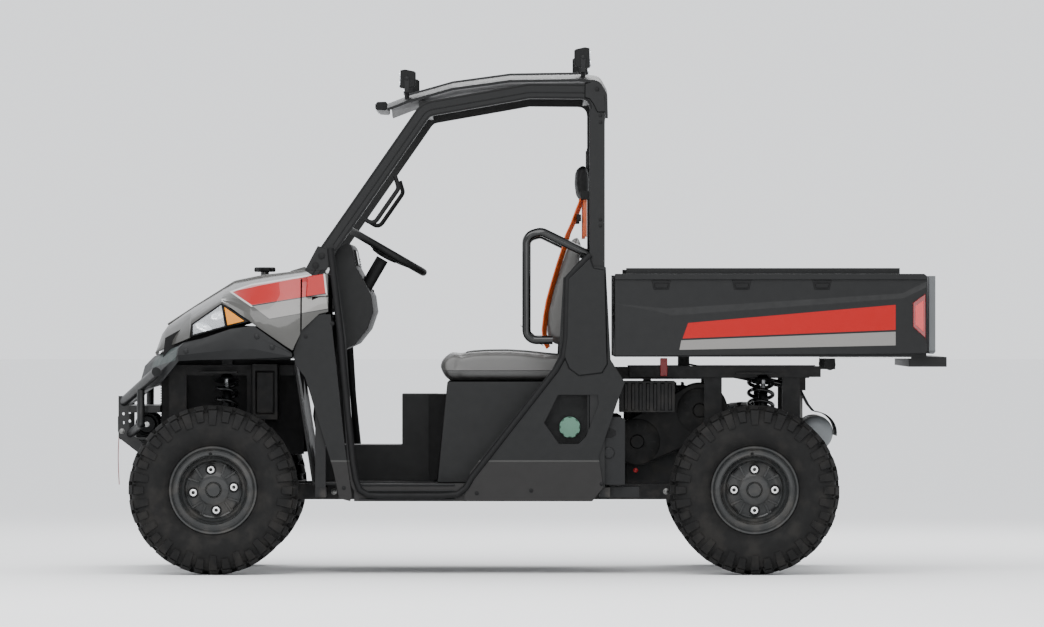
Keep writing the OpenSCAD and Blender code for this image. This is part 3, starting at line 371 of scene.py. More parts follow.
def tree_of(name, inputs):
    """A Geometry Nodes group with its inputs, and a function that adds nodes to it."""
    group = bpy.data.node_groups.new(name, "GeometryNodeTree")
    group.interface.new_socket("Geometry", in_out="INPUT", socket_type="NodeSocketGeometry")
    group.interface.new_socket("Geometry", in_out="OUTPUT", socket_type="NodeSocketGeometry")
    for label, kind in inputs.items():
        group.interface.new_socket(label, in_out="INPUT", socket_type="NodeSocket" + kind)

    def add(kind, settings=None, values=None):
        node = group.nodes.new(kind)
        for key, value in (settings or {}).items():
            setattr(node, key, value)
        for key, value in (values or {}).items():
            if isinstance(value, bpy.types.NodeSocket):
                group.links.new(value, node.inputs[key])
            else:
                node.inputs[key].default_value = value
        return node

    return group, add


def close_tree(group, add, geometry, material):
    """Ends a group: the instances are made real and take their material."""
    real = add("GeometryNodeRealizeInstances", values={0: geometry})
    done = add("GeometryNodeSetMaterial", values={"Geometry": real.outputs[0], "Material": material})
    group.links.new(done.outputs[0], add("NodeGroupOutput").inputs[0])


def grow(name, group, paint, values, points=((0, 0, 0),), angle=35, body="chassis"):
    """Runs a group on a carrier mesh and returns the result as a plain, riding piece."""
    values = {**values, "Material": paint.material}
    carrier = bpy.data.objects.new("carrier", bpy.data.meshes.new("carrier"))
    carrier.data.from_pydata([tuple(p) for p in points], [], [])
    bpy.context.scene.collection.objects.link(carrier)
    maker = carrier.modifiers.new("maker", "NODES")
    maker.node_group = group
    for item in group.interface.items_tree:
        if item.in_out == "INPUT" and item.name in values:
            maker[item.identifier] = values[item.name]
    shown = carrier.evaluated_get(bpy.context.evaluated_depsgraph_get())
    mesh = bpy.data.meshes.new_from_object(shown)
    bpy.data.objects.remove(carrier)
    mesh.name = name
    mesh.shade_smooth()
    mesh.set_sharp_from_angle(angle=math.radians(angle))
    piece = bpy.data.objects.new(name, mesh)
    bpy.context.scene.collection.objects.link(piece)
    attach(piece, body)
    return piece


# Puts one small part at every point of the carrier
spots_tree, add = tree_of("spots", {"Part": "Object", "Material": "Material"})
entry = add("NodeGroupInput")
part = add("GeometryNodeObjectInfo", values={0: entry.outputs["Part"]})
spots = add("GeometryNodeInstanceOnPoints",
            values={"Points": add("GeometryNodeMeshToPoints", values={0: entry.outputs[0]}).outputs[0],
                    "Instance": part.outputs["Geometry"]})
close_tree(spots_tree, add, spots.outputs[0], entry.outputs["Material"])


def pattern(shape):
    """A small part that a group repeats: an unlinked object that never shows itself."""
    mesh = bpy.data.meshes.new("part")
    mesh.from_pydata(shape.points, [], shape.faces)
    work = bmesh.new()
    work.from_mesh(mesh)
    bmesh.ops.remove_doubles(work, verts=work.verts, dist=1e-5)
    bmesh.ops.recalc_face_normals(work, faces=work.faces)
    work.to_mesh(mesh)
    work.free()
    return bpy.data.objects.new("part", mesh)


def screw(radius, height, axis, flange=1.35, sides=6):
    """A hexagon head on a flange, half sunk so that it serves either side of a wall."""
    shape = Solid()
    turn = Vector(axis).to_track_quat("Z", "Y")

    def ring(r, h, n, start=0.0):
        return [turn @ Vector((r * math.cos(start + 2 * math.pi * i / n),
                               r * math.sin(start + 2 * math.pi * i / n), h)) for i in range(n)]

    shape.loft([ring(radius * flange, -height * 0.35, 16), ring(radius * flange, height * 0.25, 16),
                ring(radius * 1.12, height * 0.35, 16)])
    shape.loft([ring(radius, -height, sides), ring(radius, height * 0.88, sides),
                ring(radius * 0.84, height, sides)])
    return shape


def screws(name, points, radius, height, axis, paint, body="chassis"):
    """Equal screws at points on the left side and at the same points on the right."""
    return grow(name, spots_tree, paint, {"Part": pattern(screw(radius, height, axis))},
                list(points) + [(x, -y, z) for x, y, z in points], body=body)


zinc = coating("zinc_plate", (0.156, 0.156, 0.1508), 0.36, grain=400, depth=0.0001, metal=0.9, mottle=0.25,
               slot="bright_steel")
axle_front = sum(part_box("tyre_front_left"), Vector()) / 2
axle_rear = sum(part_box("tyre_rear_left"), Vector()) / 2
ground_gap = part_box("frame")[0].z
frame_side = 0.320
bush_y = frame_side + 0.020
bolt_points = []
for axle in (axle_front, axle_rear):
    for s in (-1, 1):
        for z in (ground_gap + 0.032, axle.z + 0.150):
            bolt_points.append((axle.x + s * 0.150 - 0.033, bush_y, z))
            bolt_points.append((axle.x + s * 0.150 + 0.033, bush_y, z))
screws("arm_bolts", bolt_points, 0.011, 0.009, (1, 0, 0), zinc)
rail_bolts = [(x, frame_side, ground_gap + 0.030) for x in
              (axle_front.x + 0.27, axle_front.x - 0.45, 0.46, -0.30, axle_rear.x + 0.33, axle_rear.x - 0.22)]
screws("rail_bolts", rail_bolts, 0.009, 0.007, (0, 1, 0), zinc)


# ---------------------------------------------------------------- suspension arms and steering
# Welded tube A-arms on rubber bushes, cast knuckles on ball pins and a rack with plain tie rods: black
# chip-resistant paint on the arms, bare casting on the knuckles.
arm_paint = coating("arm_paint", (0.0039, 0.004, 0.0043), 0.38, grain=1100, depth=0.0002, dust=0.14,
                    slot="frame_steel")
cast_iron = coating("cast_iron", (0.0131, 0.0134, 0.0138), 0.6, grain=420, depth=0.0012, dust=0.14,
                    metal=0.35, slot="cast_metal")
refined("suspension_arms", arm_paint, 0.0, angle=40)
for name in ("steering_knuckle_left", "steering_knuckle_right", "rear_hubs"):
    refined(name, cast_iron, 0.004)
refined("rack_housing", cast_iron, 0.002)
refined("tie_rods", zinc, 0.0015)


# ---------------------------------------------------------------- shock absorbers
# Coil-over dampers: a threaded body with a collar, a polished rod in a rubber stop and a black spring.
shock_dx, tower_mid, low_mid = -0.041, 0.376, 0.479
spring_paint = coating("spring_paint", (0.0032, 0.0034, 0.0035), 0.30, grain=700, depth=0.0001, coat=0.3,
                       slot="frame_steel")
damper_body = coating("damper_body", (0.0056, 0.0058, 0.0061), 0.33, grain=500, depth=0.0001, metal=0.6,
                      slot="frame_steel")
rod_chrome = coating("rod_chrome", (0.62, 0.63, 0.64), 0.12, grain=300, depth=0.00002, metal=1.0,
                     mottle=0.04, slot="bright_steel")

# A coil along +Z, turned onto its axis and moved to its foot
coil_tree, add = tree_of("coil", {"Turns": "Float", "Radius": "Float", "Height": "Float", "Wire": "Float",
                                  "Turn": "Vector", "Place": "Vector", "Material": "Material"})
entry = add("NodeGroupInput")
spiral = add("GeometryNodeCurveSpiral",
             values={"Resolution": 28, "Rotations": entry.outputs["Turns"],
                     "Start Radius": entry.outputs["Radius"], "End Radius": entry.outputs["Radius"],
                     "Height": entry.outputs["Height"]})
wire = add("GeometryNodeCurvePrimitiveCircle", values={"Resolution": 10, "Radius": entry.outputs["Wire"]})
coiled = add("GeometryNodeCurveToMesh", values={"Curve": spiral.outputs[0],
                                                "Profile Curve": wire.outputs[0], "Fill Caps": True})
moved = add("GeometryNodeTransform", values={"Geometry": coiled.outputs[0],
                                             "Translation": entry.outputs["Place"],
                                             "Rotation": entry.outputs["Turn"]})
close_tree(coil_tree, add, moved.outputs[0], entry.outputs["Material"])
dampers, rods = Solid(), Solid()
for axle, top in ((axle_front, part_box("front_tower")[1].z - 0.032), (axle_rear, 0.759)):
    for side in (1, -1):
        low = Vector((axle.x + shock_dx, side * low_mid, 0.2795))
        high = Vector((axle.x + shock_dx, side * tower_mid, top))
        up, run = (high - low).normalized(), (high - low).length
        turn = up.to_track_quat("Z", "Y")
        dampers.lathe([(0.0, 0.0), (0.0, 0.018), (0.012, 0.023), (run * 0.30, 0.023)]
                      + [(run * (0.30 + 0.01 * k), 0.023 + 0.0016 * (k % 2)) for k in range(12)]
                      + [(run * 0.415, 0.023), (run * 0.415, 0.043), (run * 0.42 + 0.006, 0.044),
                         (run * 0.42 + 0.006, 0.024), (run * 0.62, 0.024), (run * 0.625, 0.011)],
                      low, up, 32)
        dampers.lathe([(run - 0.030, 0.009), (run - 0.030, 0.044), (run - 0.024, 0.044), (run - 0.018, 0.026),
                       (run - 0.004, 0.018), (run - 0.002, 0.0)], low, up, 32)
        dampers.lathe([(run * 0.70, 0.010), (run * 0.70, 0.019), (run * 0.76, 0.016), (run * 0.78, 0.019),
                       (run * 0.86, 0.017), (run * 0.88, 0.010)], low, up, 24)
        rods.lathe([(run * 0.60, 0.0), (run * 0.60, 0.009), (run - 0.020, 0.009), (run - 0.020, 0.0)],
                   low, up, 20)
        height = run * 0.58 - 0.048
        grow("spring_" + ("front" if axle.x > 0 else "rear") + ("_left" if side > 0 else "_right"), coil_tree,
             spring_paint, {"Turns": 5.5, "Radius": 0.037, "Height": height, "Wire": 0.0074,
                            "Turn": tuple(turn.to_euler()),
                            "Place": tuple(low + up * (run * 0.42 + 0.012))}, angle=60)
dampers.build("dampers", damper_body, ["shock_absorbers"])
rods.build("damper_rods", rod_chrome)


# ---------------------------------------------------------------- tyres
# Off-road tyres: a smooth bulging sidewall and a deep open tread whose shoulder blocks, long and short
# in turn, wrap down the side. Dull black rubber with dried dust between the blocks.
rubber = coating("tyre_rubber", (0.0042, 0.0041, 0.004), 0.78, grain=650, depth=0.0004, mottle=0.12,
                 dust=0.10, slot="tyre_rubber")
tread_count = 18
tread_r = (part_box("tyre_front_left")[1].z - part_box("tyre_front_left")[0].z) / 2
carcass = [(-0.0774, 0.154), (-0.0829, 0.1685), (-0.0924, 0.174), (-0.106, 0.190), (-0.1145, 0.212),
           (-0.1145, 0.240), (-0.110, 0.266), (-0.100, 0.288), (-0.078, 0.304), (-0.040, 0.3095)]
carcass = carcass + [(0.0, 0.310)] + [(-h, r) for h, r in carcass[::-1]]


def tread_block(shape, stations, skew=0.0):
    """A raised block that follows stations (radius, distance across, width, depth) down the tyre."""
    rings = []
    for k, (r, y, w, deep) in enumerate(stations):
        before, after = stations[max(k - 1, 0)], stations[min(k + 1, len(stations) - 1)]
        run = Vector((after[0] - before[0], after[1] - before[1])).normalized()
        out = Vector((run.y, -run.x))
        out = out if out.x + out.y > 0 else -out
        low = Vector((r, y)) - out * deep
        x = skew * (y - stations[0][1])
        rings.append([(x - w * 0.56, low.y, low.x), (x + w * 0.56, low.y, low.x),
                      (x + w * 0.46, y, r), (x - w * 0.46, y, r)])
    shape.loft(rings)


def mirrored_y(shape, phase):
    """Adds the other shoulder's half, turned by phase round the wheel's axis."""
    turn = Matrix.Rotation(phase, 3, "Y")
    return shape.add([turn @ Vector((p.x, -p.y, p.z)) for p in shape.points], [f[::-1] for f in shape.faces])


step = 2 * math.pi / tread_count
long_blocks, short_blocks = Solid(), Solid()
tread_block(long_blocks, [(tread_r, 0.050, 0.036, 0.013), (0.3195, 0.078, 0.036, 0.015),
                          (0.3085, 0.097, 0.034, 0.012)], 0.10)
tread_block(long_blocks, [(0.3035, 0.1015, 0.033, 0.010), (0.288, 0.1095, 0.031, 0.007),
                          (0.268, 0.1155, 0.028, 0.005), (0.249, 0.1172, 0.025, 0.004)], 0.05)
tread_block(long_blocks, [(tread_r, 0.006, 0.030, 0.013), (tread_r, 0.040, 0.026, 0.013)], 0.5)
tread_block(short_blocks, [(tread_r, 0.056, 0.034, 0.013), (0.3185, 0.080, 0.034, 0.015),
                           (0.3065, 0.099, 0.032, 0.012)], -0.10)
tread_block(short_blocks, [(0.301, 0.1030, 0.031, 0.009), (0.284, 0.1112, 0.028, 0.006),
                           (0.263, 0.1165, 0.025, 0.004)], -0.05)
tread_block(short_blocks, [(tread_r, 0.012, 0.026, 0.013), (tread_r, 0.046, 0.028, 0.013)], -0.5)
long_part = pattern(mirrored_y(long_blocks, step / 4))
short_part = pattern(mirrored_y(short_blocks, step / 4))

# Repeats a part round an axle that runs across the vehicle
round_tree, add = tree_of("round_axle", {"Part": "Object", "Count": "Int", "Start": "Float",
                                         "Place": "Vector", "Material": "Material"})
entry = add("NodeGroupInput")
line = add("GeometryNodeMeshLine", values={"Count": entry.outputs["Count"], "Offset": (0, 0, 0)})
part = add("GeometryNodeObjectInfo", values={0: entry.outputs["Part"]})
index = add("GeometryNodeInputIndex")
share = add("ShaderNodeMath", {"operation": "DIVIDE"}, {0: index.outputs[0], 1: entry.outputs["Count"]})
angle = add("ShaderNodeMath", {"operation": "MULTIPLY_ADD"},
            {0: share.outputs[0], 1: 2 * math.pi, 2: entry.outputs["Start"]})
turned = add("ShaderNodeCombineXYZ", values={"Y": angle.outputs[0]})
ring = add("GeometryNodeInstanceOnPoints", values={"Points": line.outputs[0],
                                                   "Instance": part.outputs["Geometry"],
                                                   "Rotation": turned.outputs[0]})
moved = add("GeometryNodeTransform", values={"Geometry": ring.outputs[0],
                                             "Translation": entry.outputs["Place"]})
close_tree(round_tree, add, moved.outputs[0], entry.outputs["Material"])


def ring_of(name, part, count, centre, paint, body, start=0.0):
    return grow(name, round_tree, paint, {"Part": part, "Count": count, "Start": start,
                                          "Place": tuple(centre)}, body=body)


wheels = [(end, hand, sum(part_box(f"tyre_{end}_{hand}"), Vector()) / 2, 1 if hand == "left" else -1)
          for end in ("front", "rear") for hand in ("left", "right")]
for end, hand, hub, side in wheels:
    spot, body = f"{end}_{hand}", f"wheel_{end}_{hand}"
    Solid().lathe(carcass, hub, (0, 1, 0), 96).build("carcass_" + spot, rubber, ["tyre_" + spot], angle=50,
                                                     body=body)
    ring_of("long_blocks_" + spot, long_part, tread_count, hub, rubber, body)
    ring_of("short_blocks_" + spot, short_part, tread_count, hub, rubber, body, step / 2)


# ---------------------------------------------------------------- rims
# Pressed steel rims in satin dark grey: a rolled flange, a stepped barrel and a disc with eight webs,
# four bright cone nuts on black washers, a hub cap and a rubber valve.
rim_paint = coating("rim_paint", (0.0148, 0.0157, 0.0157), 0.36, grain=900, depth=0.0001, coat=0.15,
                    dust=0.3, slot="rim_steel")
nut_steel = coating("nut_steel", (0.80, 0.80, 0.79), 0.28, grain=300, depth=0.00003, metal=0.35,
                    mottle=0.04, slot="bright_steel")
soft_black = coating("soft_black", (0.0019, 0.0019, 0.0021), 0.62, grain=700, depth=0.0002,
                     slot="moulded_plastic")
rim_profile = [(-0.090, 0.148), (-0.090, 0.166), (-0.086, 0.168), (-0.080, 0.160), (-0.078, 0.152),
               (-0.046, 0.152), (-0.030, 0.138), (0.028, 0.138), (0.050, 0.152), (0.078, 0.152), (0.080,
                       0.160),
               (0.084, 0.1675), (0.088, 0.1680), (0.090, 0.1655), (0.0895, 0.160), (0.084, 0.1545),
               (0.079, 0.1525), (0.0765, 0.1495), (0.0775, 0.1460), (0.0780, 0.1360), (0.0745, 0.1315),
               (0.0600, 0.1290), (0.0440, 0.1275), (0.0400, 0.1240), (0.0415, 0.1200), (0.0425, 0.1150),
               (0.0390, 0.1115), (0.0250, 0.1085), (0.0130, 0.1055), (0.0100, 0.1000), (0.0130, 0.0860),
               (0.0150, 0.0640), (0.0195, 0.0570), (0.0210, 0.0530), (0.0210, 0.0310), (0.0190, 0.0290),
               (0.0190, 0.0275), (0.0330, 0.0265), (0.0355, 0.0240), (0.0355, 0.0)]
web = Solid()
for lean in (-1, 1):
    web.loft([[(lean * 0.013, 0.008, 0.062), (lean * 0.005, 0.008, 0.062), (lean * 0.007, 0.0205, 0.062),
               (lean * 0.011, 0.0205, 0.062)],
              [(lean * 0.030, 0.006, 0.103), (lean * 0.016, 0.006, 0.105), (lean * 0.020, 0.0165, 0.104),
               (lean * 0.027, 0.0165, 0.102)]])
# The disc's slots between each pair of webs are not cut: small black blocks set in the disc are painted shade
# where the slots would show.
slit_shade = Solid().loft([[(-0.012, 0.0085, 0.0995), (0.012, 0.0085, 0.0995), (0.012, 0.0155, 0.0995),
                      (-0.012, 0.0155, 0.0995)],
                     [(-0.015, 0.0085, 0.1045), (0.015, 0.0085, 0.1045), (0.015, 0.0155, 0.1045),
                      (-0.015, 0.0155, 0.1045)]])
nut = Solid().lathe([(0.012, 0.0070), (0.0225, 0.0062), (0.0255, 0.0078), (0.0262, 0.0100), (0.0250, 0.0128),
                     (0.0215, 0.0140), (0.012, 0.0142)], (0, 0, 0.078), (0, 1, 0), 24)
washer = Solid().lathe([(0.010, 0.004), (0.0170, 0.004), (0.0190, 0.0190), (0.0165, 0.0205), (0.010, 0.0205)],
                       (0, 0, 0.078), (0, 1, 0), 24)


def facing(shape, side):
    """The part for a left wheel, or its mirror image for a right one."""
    turned = Solid()
    turned.add([(p.x, p.y * side, p.z) for p in shape.points], shape.faces)
    return pattern(turned)


for end, hand, hub, side in wheels:
    spot, body = f"{end}_{hand}", f"wheel_{end}_{hand}"
    start = math.radians(7.6) if end == "front" else 0.0
    Solid().lathe(rim_profile, hub, (0, side, 0), 96).build("rim_shell_" + spot, rim_paint,
                                                            ["rim_" + spot], angle=28, body=body)
    ring_of("rim_webs_" + spot, facing(web, side), 4, hub, rim_paint, body, start + math.pi / 4)
    ring_of("rim_slits_" + spot, facing(slit_shade, side), 4, hub, soft_black, body, start + math.pi / 4)
    ring_of("wheel_washers_" + spot, facing(washer, side), 4, hub, soft_black, body, start)
    ring_of("wheel_nuts_" + spot, facing(nut, side), 4, hub, nut_steel, body, start)
    Solid().lathe([(0.0, 0.0055), (0.004, 0.0060), (0.010, 0.0042), (0.022, 0.0036), (0.024, 0.0)],
                  hub + Vector((0.010, side * 0.074, 0.138)), (0, side, 0), 16).build(
        "valve_" + spot, soft_black, slot="rim_steel", body=body)


# ---------------------------------------------------------------- power train
# Diesel engine block, final drives and half shafts; a plastic cover over the belt drive on the left; a
# steel exhaust with its muffler across the tail behind a heat shield.
engine_cast = coating("engine_casting", (0.0289, 0.0297, 0.0308), 0.55, grain=350, depth=0.001, metal=0.4,
                      dust=0.4, slot="cast_metal")
hard_plastic = coating("hard_plastic", (0.0026, 0.0027, 0.0027), 0.52, grain=1200, depth=0.0002, dust=0.3,
                       slot="moulded_plastic")
muffler_steel = coating("muffler_steel", (0.1716, 0.182, 0.1872), 0.42, grain=260, depth=0.0003, metal=0.55,
                        mottle=0.2, dust=0.3, slot="bright_steel")
refined("engine", engine_cast, 0.012, rounds=3)
refined("driveline", cast_iron, 0.004)
refined("clutch_cover", hard_plastic, 0.008, rounds=3)
refined("radiator", hard_plastic, 0.004)
refined("air_box", hard_plastic, 0.004)
refined("electrics_box", hard_plastic, 0.006)

engine_low, engine_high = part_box("engine")

# A row of equal parts from Start, Step apart
row_tree, add = tree_of("row", {"Part": "Object", "Count": "Int", "Start": "Vector", "Step": "Vector",
                                "Material": "Material"})
entry = add("NodeGroupInput")
line = add("GeometryNodeMeshLine", values={"Count": entry.outputs["Count"],
                                           "Start Location": entry.outputs["Start"],
                                           "Offset": entry.outputs["Step"]})
part = add("GeometryNodeObjectInfo", values={0: entry.outputs["Part"]})
row = add("GeometryNodeInstanceOnPoints", values={"Points": line.outputs[0],
                                                  "Instance": part.outputs["Geometry"]})
close_tree(row_tree, add, row.outputs[0], entry.outputs["Material"])


def row_of(name, shape, count, start, step, paint, body="chassis", angle=35):
    return grow(name, row_tree, paint, {"Part": pattern(shape), "Count": count, "Start": tuple(start),
                                        "Step": tuple(step)}, angle=angle, body=body)


fin = Solid().block((-0.004, -0.006, 0.0), (0.004, 0.010, 0.200))
row_of("engine_fins_left", fin, 8, (engine_low.x + 0.022, engine_high.y, engine_low.z + 0.100), (0.029, 0, 0),
       engine_cast)
row_of("engine_fins_top", Solid().block((-0.004, -0.150, -0.006), (0.004, 0.150, 0.012)), 8,
       (engine_low.x + 0.022, 0, engine_high.z), (0.029, 0, 0), engine_cast)
cover_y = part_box("clutch_cover")[1].y
web_fin = Solid().block((-0.003, -0.004, 0.030), (0.003, 0.0045, 0.082))
for name, centre in (("front", (axle_rear.x + 0.441, cover_y, 0.500)), ("rear", (axle_rear.x + 0.200,
        cover_y, 0.620))):
    ring_of("cover_webs_" + name, pattern(web_fin), 12, centre, hard_plastic, "chassis")
    Solid().lathe([(-0.002, 0.0), (-0.002, 0.088), (0.003, 0.088), (0.005, 0.084), (0.003, 0.028), (0.010,
            0.024),
                   (0.010, 0.0)], centre, (0, 1, 0), 48).build("cover_disc_" + name, hard_plastic, angle=30)
radiator_low, radiator_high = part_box("radiator")
row_of("radiator_fins", Solid().block((0, -0.240, -0.0015), (0.004, 0.240, 0.0015)), 30,
       (radiator_high.x, 0, radiator_low.z + 0.015), (0, 0, 0.010), engine_cast)
red_plastic = coating("red_plastic", (0.286, 0.0062, 0.0083), 0.42, grain=800, depth=0.0001, coat=0.2,
                      slot="lever_plastic")
Solid().lathe([(0.0, 0.0), (0.0, 0.009), (0.010, 0.009), (0.012, 0.006), (0.012, 0.0)],
              (-0.414, cover_y, 0.390), (0, 1, 0), 24).build("drain_plug", red_plastic)
muffler = Vector((axle_rear.x - 0.248, 0, 0.532))
Solid().lathe([(-0.210, 0.0), (-0.210, 0.030), (-0.206, 0.056), (-0.200, 0.064), (-0.196, 0.0665),
               (-0.190, 0.0665), (-0.186, 0.0655), (0.186, 0.0655), (0.190, 0.0665), (0.196, 0.0665),
               (0.200, 0.064), (0.206, 0.056), (0.210, 0.030), (0.210, 0.0)], muffler, (0, 1, 0), 64).build(
    "muffler", muffler_steel, ["exhaust"], angle=50)
pipe_start, pipe_end = muffler + Vector((0.030, 0.100, 0.030)), Vector((axle_rear.x + 0.230, 0.100, 0.640))
pipe_run = [pipe_start.lerp(pipe_end, k / 8) for k in range(9)]
Solid().tube(pipe_run, 0.022, 24).build("exhaust_pipe", muffler_steel, angle=50)
hanger = Solid().block((muffler.x + 0.044, -0.008, muffler.z + 0.034), (muffler.x + 0.060, 0.008, 0.749))
for y in (-0.130, 0.130):
    hanger.lathe([(-0.012, 0.0655), (-0.012, 0.069), (0.012, 0.069), (0.012, 0.0655)],
                 muffler + Vector((0, y, 0)),
                 (0, 1, 0), 64)
hanger.build("muffler_straps", zinc, bevel=0.0008)
shield_line = [(muffler.x + 0.078, 0.742), (muffler.x + 0.052, 0.690), (muffler.x + 0.026, 0.640),
               (muffler.x + 0.004, 0.614)]
shield_line += [(muffler.x + 0.080 * math.sin(math.radians(a)), muffler.z + 0.080 * math.cos(math.radians(a)))
                for a in range(-8, -103, -9)]
shield = Solid()
rings = []
for k, (x, z) in enumerate(shield_line):
    a, b = Vector(shield_line[max(k - 1, 0)]), Vector(shield_line[min(k + 1, len(shield_line) - 1)])
    out = Vector(((b - a).y, -(b - a).x)).normalized() * -0.003
    rings.append([(x, -0.195, z), (x, 0.195, z), (x - out.x, 0.195, z - out.y), (x - out.x, -0.195,
            z - out.y)])
shield.loft(rings)
shield.build("heat_shield", powder_coat, bevel=0.001, angle=50)


# ---------------------------------------------------------------- hood
# One moulded hood in warm grey paint, hinged at the nose, with red and silver graphic panels on its
# flanks. A star knob on top locks it; two small vents stand behind the knob.
def inside(paint, outline, soft=0.0006):
    """1 within a convex outline in the side view, 0 outside it."""
    n = len(outline)
    area = sum(outline[i - 1][0] * outline[i][1] - outline[i][0] * outline[i - 1][1] for i in range(n))
    mask = None
    for i in range(n):
        a, b = Vector(outline[i - 1]), Vector(outline[i])
        d = (b - a).normalized() * (1 if area > 0 else -1)
        edge = (paint.x * -d.y + paint.z * d.x + (d.y * a.x - d.x * a.y)).ramp(-soft, soft)
        mask = edge if mask is None else mask * edge
    return mask


def side_of(paint, limit):
    """1 on the outer faces, further out than limit on either side."""
    return abs(paint.y).ramp(limit - 0.001, limit + 0.001)


def graphics(paint, tone, panels, limit):
    """Lays flat coloured panels over a paint's own colour."""
    outside = side_of(paint, limit)
    for outline, colour in panels:
        tone = paint.mix(inside(paint, outline) * outside, tone, colour)
    return tone


graphic_red, graphic_silver, thin_line = (0.30, 0.0006, 0.0004), (0.165, 0.159, 0.151), (0.008, 0.008, 0.009)
hood_grey = (0.050, 0.049, 0.0455)
hood_paint = coating("hood_paint", hood_grey, 0.34, grain=1300, depth=0.00006, mottle=0.05, coat=0.35,
                     slot="hood_plastic")
hood_base = hood_paint.mix(hood_paint.noise(4.5, 4), tuple(c * 0.96 for c in hood_grey),
                           tuple(c * 1.05 for c in hood_grey))
red_panel = [(1.126, 1.075), (1.056, 1.100), (0.778, 1.144), (0.770, 1.070), (1.051, 1.025)]
silver_panel = [(1.047, 1.021), (0.768, 1.067), (0.761, 1.012), (0.984, 0.973)]
hood_tone = graphics(hood_paint, hood_base, [
    (shrunk(red_panel, -0.006), (0.42, 0.41, 0.40)), (shrunk([(1.0505, 1.024), (0.769, 1.070), (0.760, 1.010),
                                                              (0.984, 0.972)], -0.001), thin_line),
    (red_panel, graphic_red), (silver_panel, graphic_silver)], 0.40)
hood_paint.shade(Base_Color=hood_tone)
refined("hood", hood_paint, 0.0015, angle=24)
refined("hood_corners", hood_paint, 0.001, angle=24)
corner = Solid().plate([(0.758, 1.148), (0.840, 1.136), (0.846, 1.056), (0.758, 1.056)], 0.684, 0.6985, 0.003)
corner.mirror().build("hood_corner_covers", hood_paint, bevel=0.002)
knob = Vector((axle_front.x - 0.176, 0, 1.154))
star = []
for k in range(48):
    r = 0.0375 + 0.0040 * math.cos(2 * math.pi * k / 8)
    star.append((r * math.cos(2 * math.pi * k / 48), r * math.sin(2 * math.pi * k / 48)))
Solid().loft([[knob + Vector((x * f, y * f, h)) for x, y in star]
              for f, h in ((0.92, 0.0), (1.0, 0.004), (1.0, 0.014), (0.90, 0.0185))]).lathe(
    [(-0.016, 0.0), (-0.016, 0.011), (0.001, 0.011)], knob, (0, 0, 1), 24).build(
    "hood_knob", soft_black, bevel=0.001, body="hood")
vent = Solid()
for y in (-0.20, 0.20):
    vent.loft([[(0.850, y - 0.07, 1.1535), (0.850, y + 0.07, 1.1535), (0.924, y + 0.07, 1.1445),
                (0.924, y - 0.07, 1.1445)],
               [(0.858, y - 0.06, 1.1745), (0.858, y + 0.06, 1.1745), (0.914, y + 0.055, 1.1575),
                (0.914, y - 0.055, 1.1575)]])
vent.build("hood_vents", hood_paint, bevel=0.004, rounds=3, body="hood")
crease = Solid()
for s in (1, -1):
    crease.tube([(1.385, s * 0.285, 0.951), (1.274, s * 0.300, 1.0185), (1.126, s * 0.330, 1.1105),
                 (1.022, s * 0.345, 1.1325), (0.860, s * 0.355, 1.153), (0.764, s * 0.36, 1.162)],
                [0.004, 0.008, 0.008, 0.008, 0.007, 0.003], 10)
crease.build("hood_creases", hood_paint, angle=60, body="hood")


# ---------------------------------------------------------------- headlights
# A clear polycarbonate lens over chromed reflectors, in a black surround, with an amber reflector behind
# it on each flank; the unit is clipped into the fender and doesn't move with the hood.
clear_lens = coating("clear_lens", (0.80, 0.83, 0.86), 0.06, grain=60, depth=0.00005, mottle=0.02, coat=1.0,
                     slot="lamp_lens")
clear_lens.shade(Alpha=0.28)
amber_lens = coating("amber_lens", (0.58, 0.20, 0.003), 0.22, grain=60, depth=0.00005, mottle=0.04,
                     coat=0.8, slot="lamp_lens")
amber_lens.relief(abs(((amber_lens.x + amber_lens.z) * 130).fraction() - 0.5)
                  + abs(((amber_lens.x - amber_lens.z) * 130).fraction() - 0.5), 0.0006)
mirror_chrome = coating("mirror_chrome", (0.86, 0.88, 0.90), 0.10, grain=200, depth=0.00002, metal=1.0,
                        mottle=0.03, slot="bright_steel")
lamp_turn = Matrix.Rotation(math.radians(-18), 3, "Z")
lamp_seat = Vector((axle_front.x, 0.686, 0.0))


def lamp_point(dx, out, z):
    return lamp_seat + lamp_turn @ Vector((dx, out, 0)) + Vector((0, 0, z))


def lamp_plate(shape, outline, low, high, inset=0.0):
    top = shrunk(outline, inset) if inset else outline
    return shape.loft([[lamp_point(x, low, z) for x, z in outline], [lamp_point(x, high, z) for x, z in top]])


def side_outline(points):
    """World X turned into distance along the lamp."""
    return [((x - axle_front.x) / math.cos(math.radians(18)), z) for x, z in points]


lamp_outline = side_outline([(1.284, 0.952), (1.165, 1.035), (1.060, 0.964), (1.143, 0.942), (1.284, 0.906)])
amber_outline = side_outline([(1.158, 1.022), (1.075, 0.964), (1.145, 0.946)])
lens_outline = side_outline([(1.276, 0.950), (1.166, 1.026), (1.153, 0.946), (1.276, 0.912)])
surround, lens, amber, chrome = Solid(), Solid(), Solid(), Solid()
lamp_plate(surround, lamp_outline, -0.026, -0.010)
for outline in (lens_outline, amber_outline):
    wide = shrunk(outline, -0.006)
    n = len(outline)
    for i in range(n):
        j = (i + 1) % n
        surround.loft([[lamp_point(*q) for q in ((p[0], -0.012, p[1]), (p[0], 0.001, p[1]), (q2[0], 0.001,
                q2[1]),
                                                 (q2[0], -0.012, q2[1]))]
                       for p, q2 in ((outline[i], wide[i]), (outline[j], wide[j]))])
lamp_plate(lens, lens_outline, -0.002, 0.0005, 0.001)
lamp_plate(amber, amber_outline, -0.009, -0.001, 0.002)
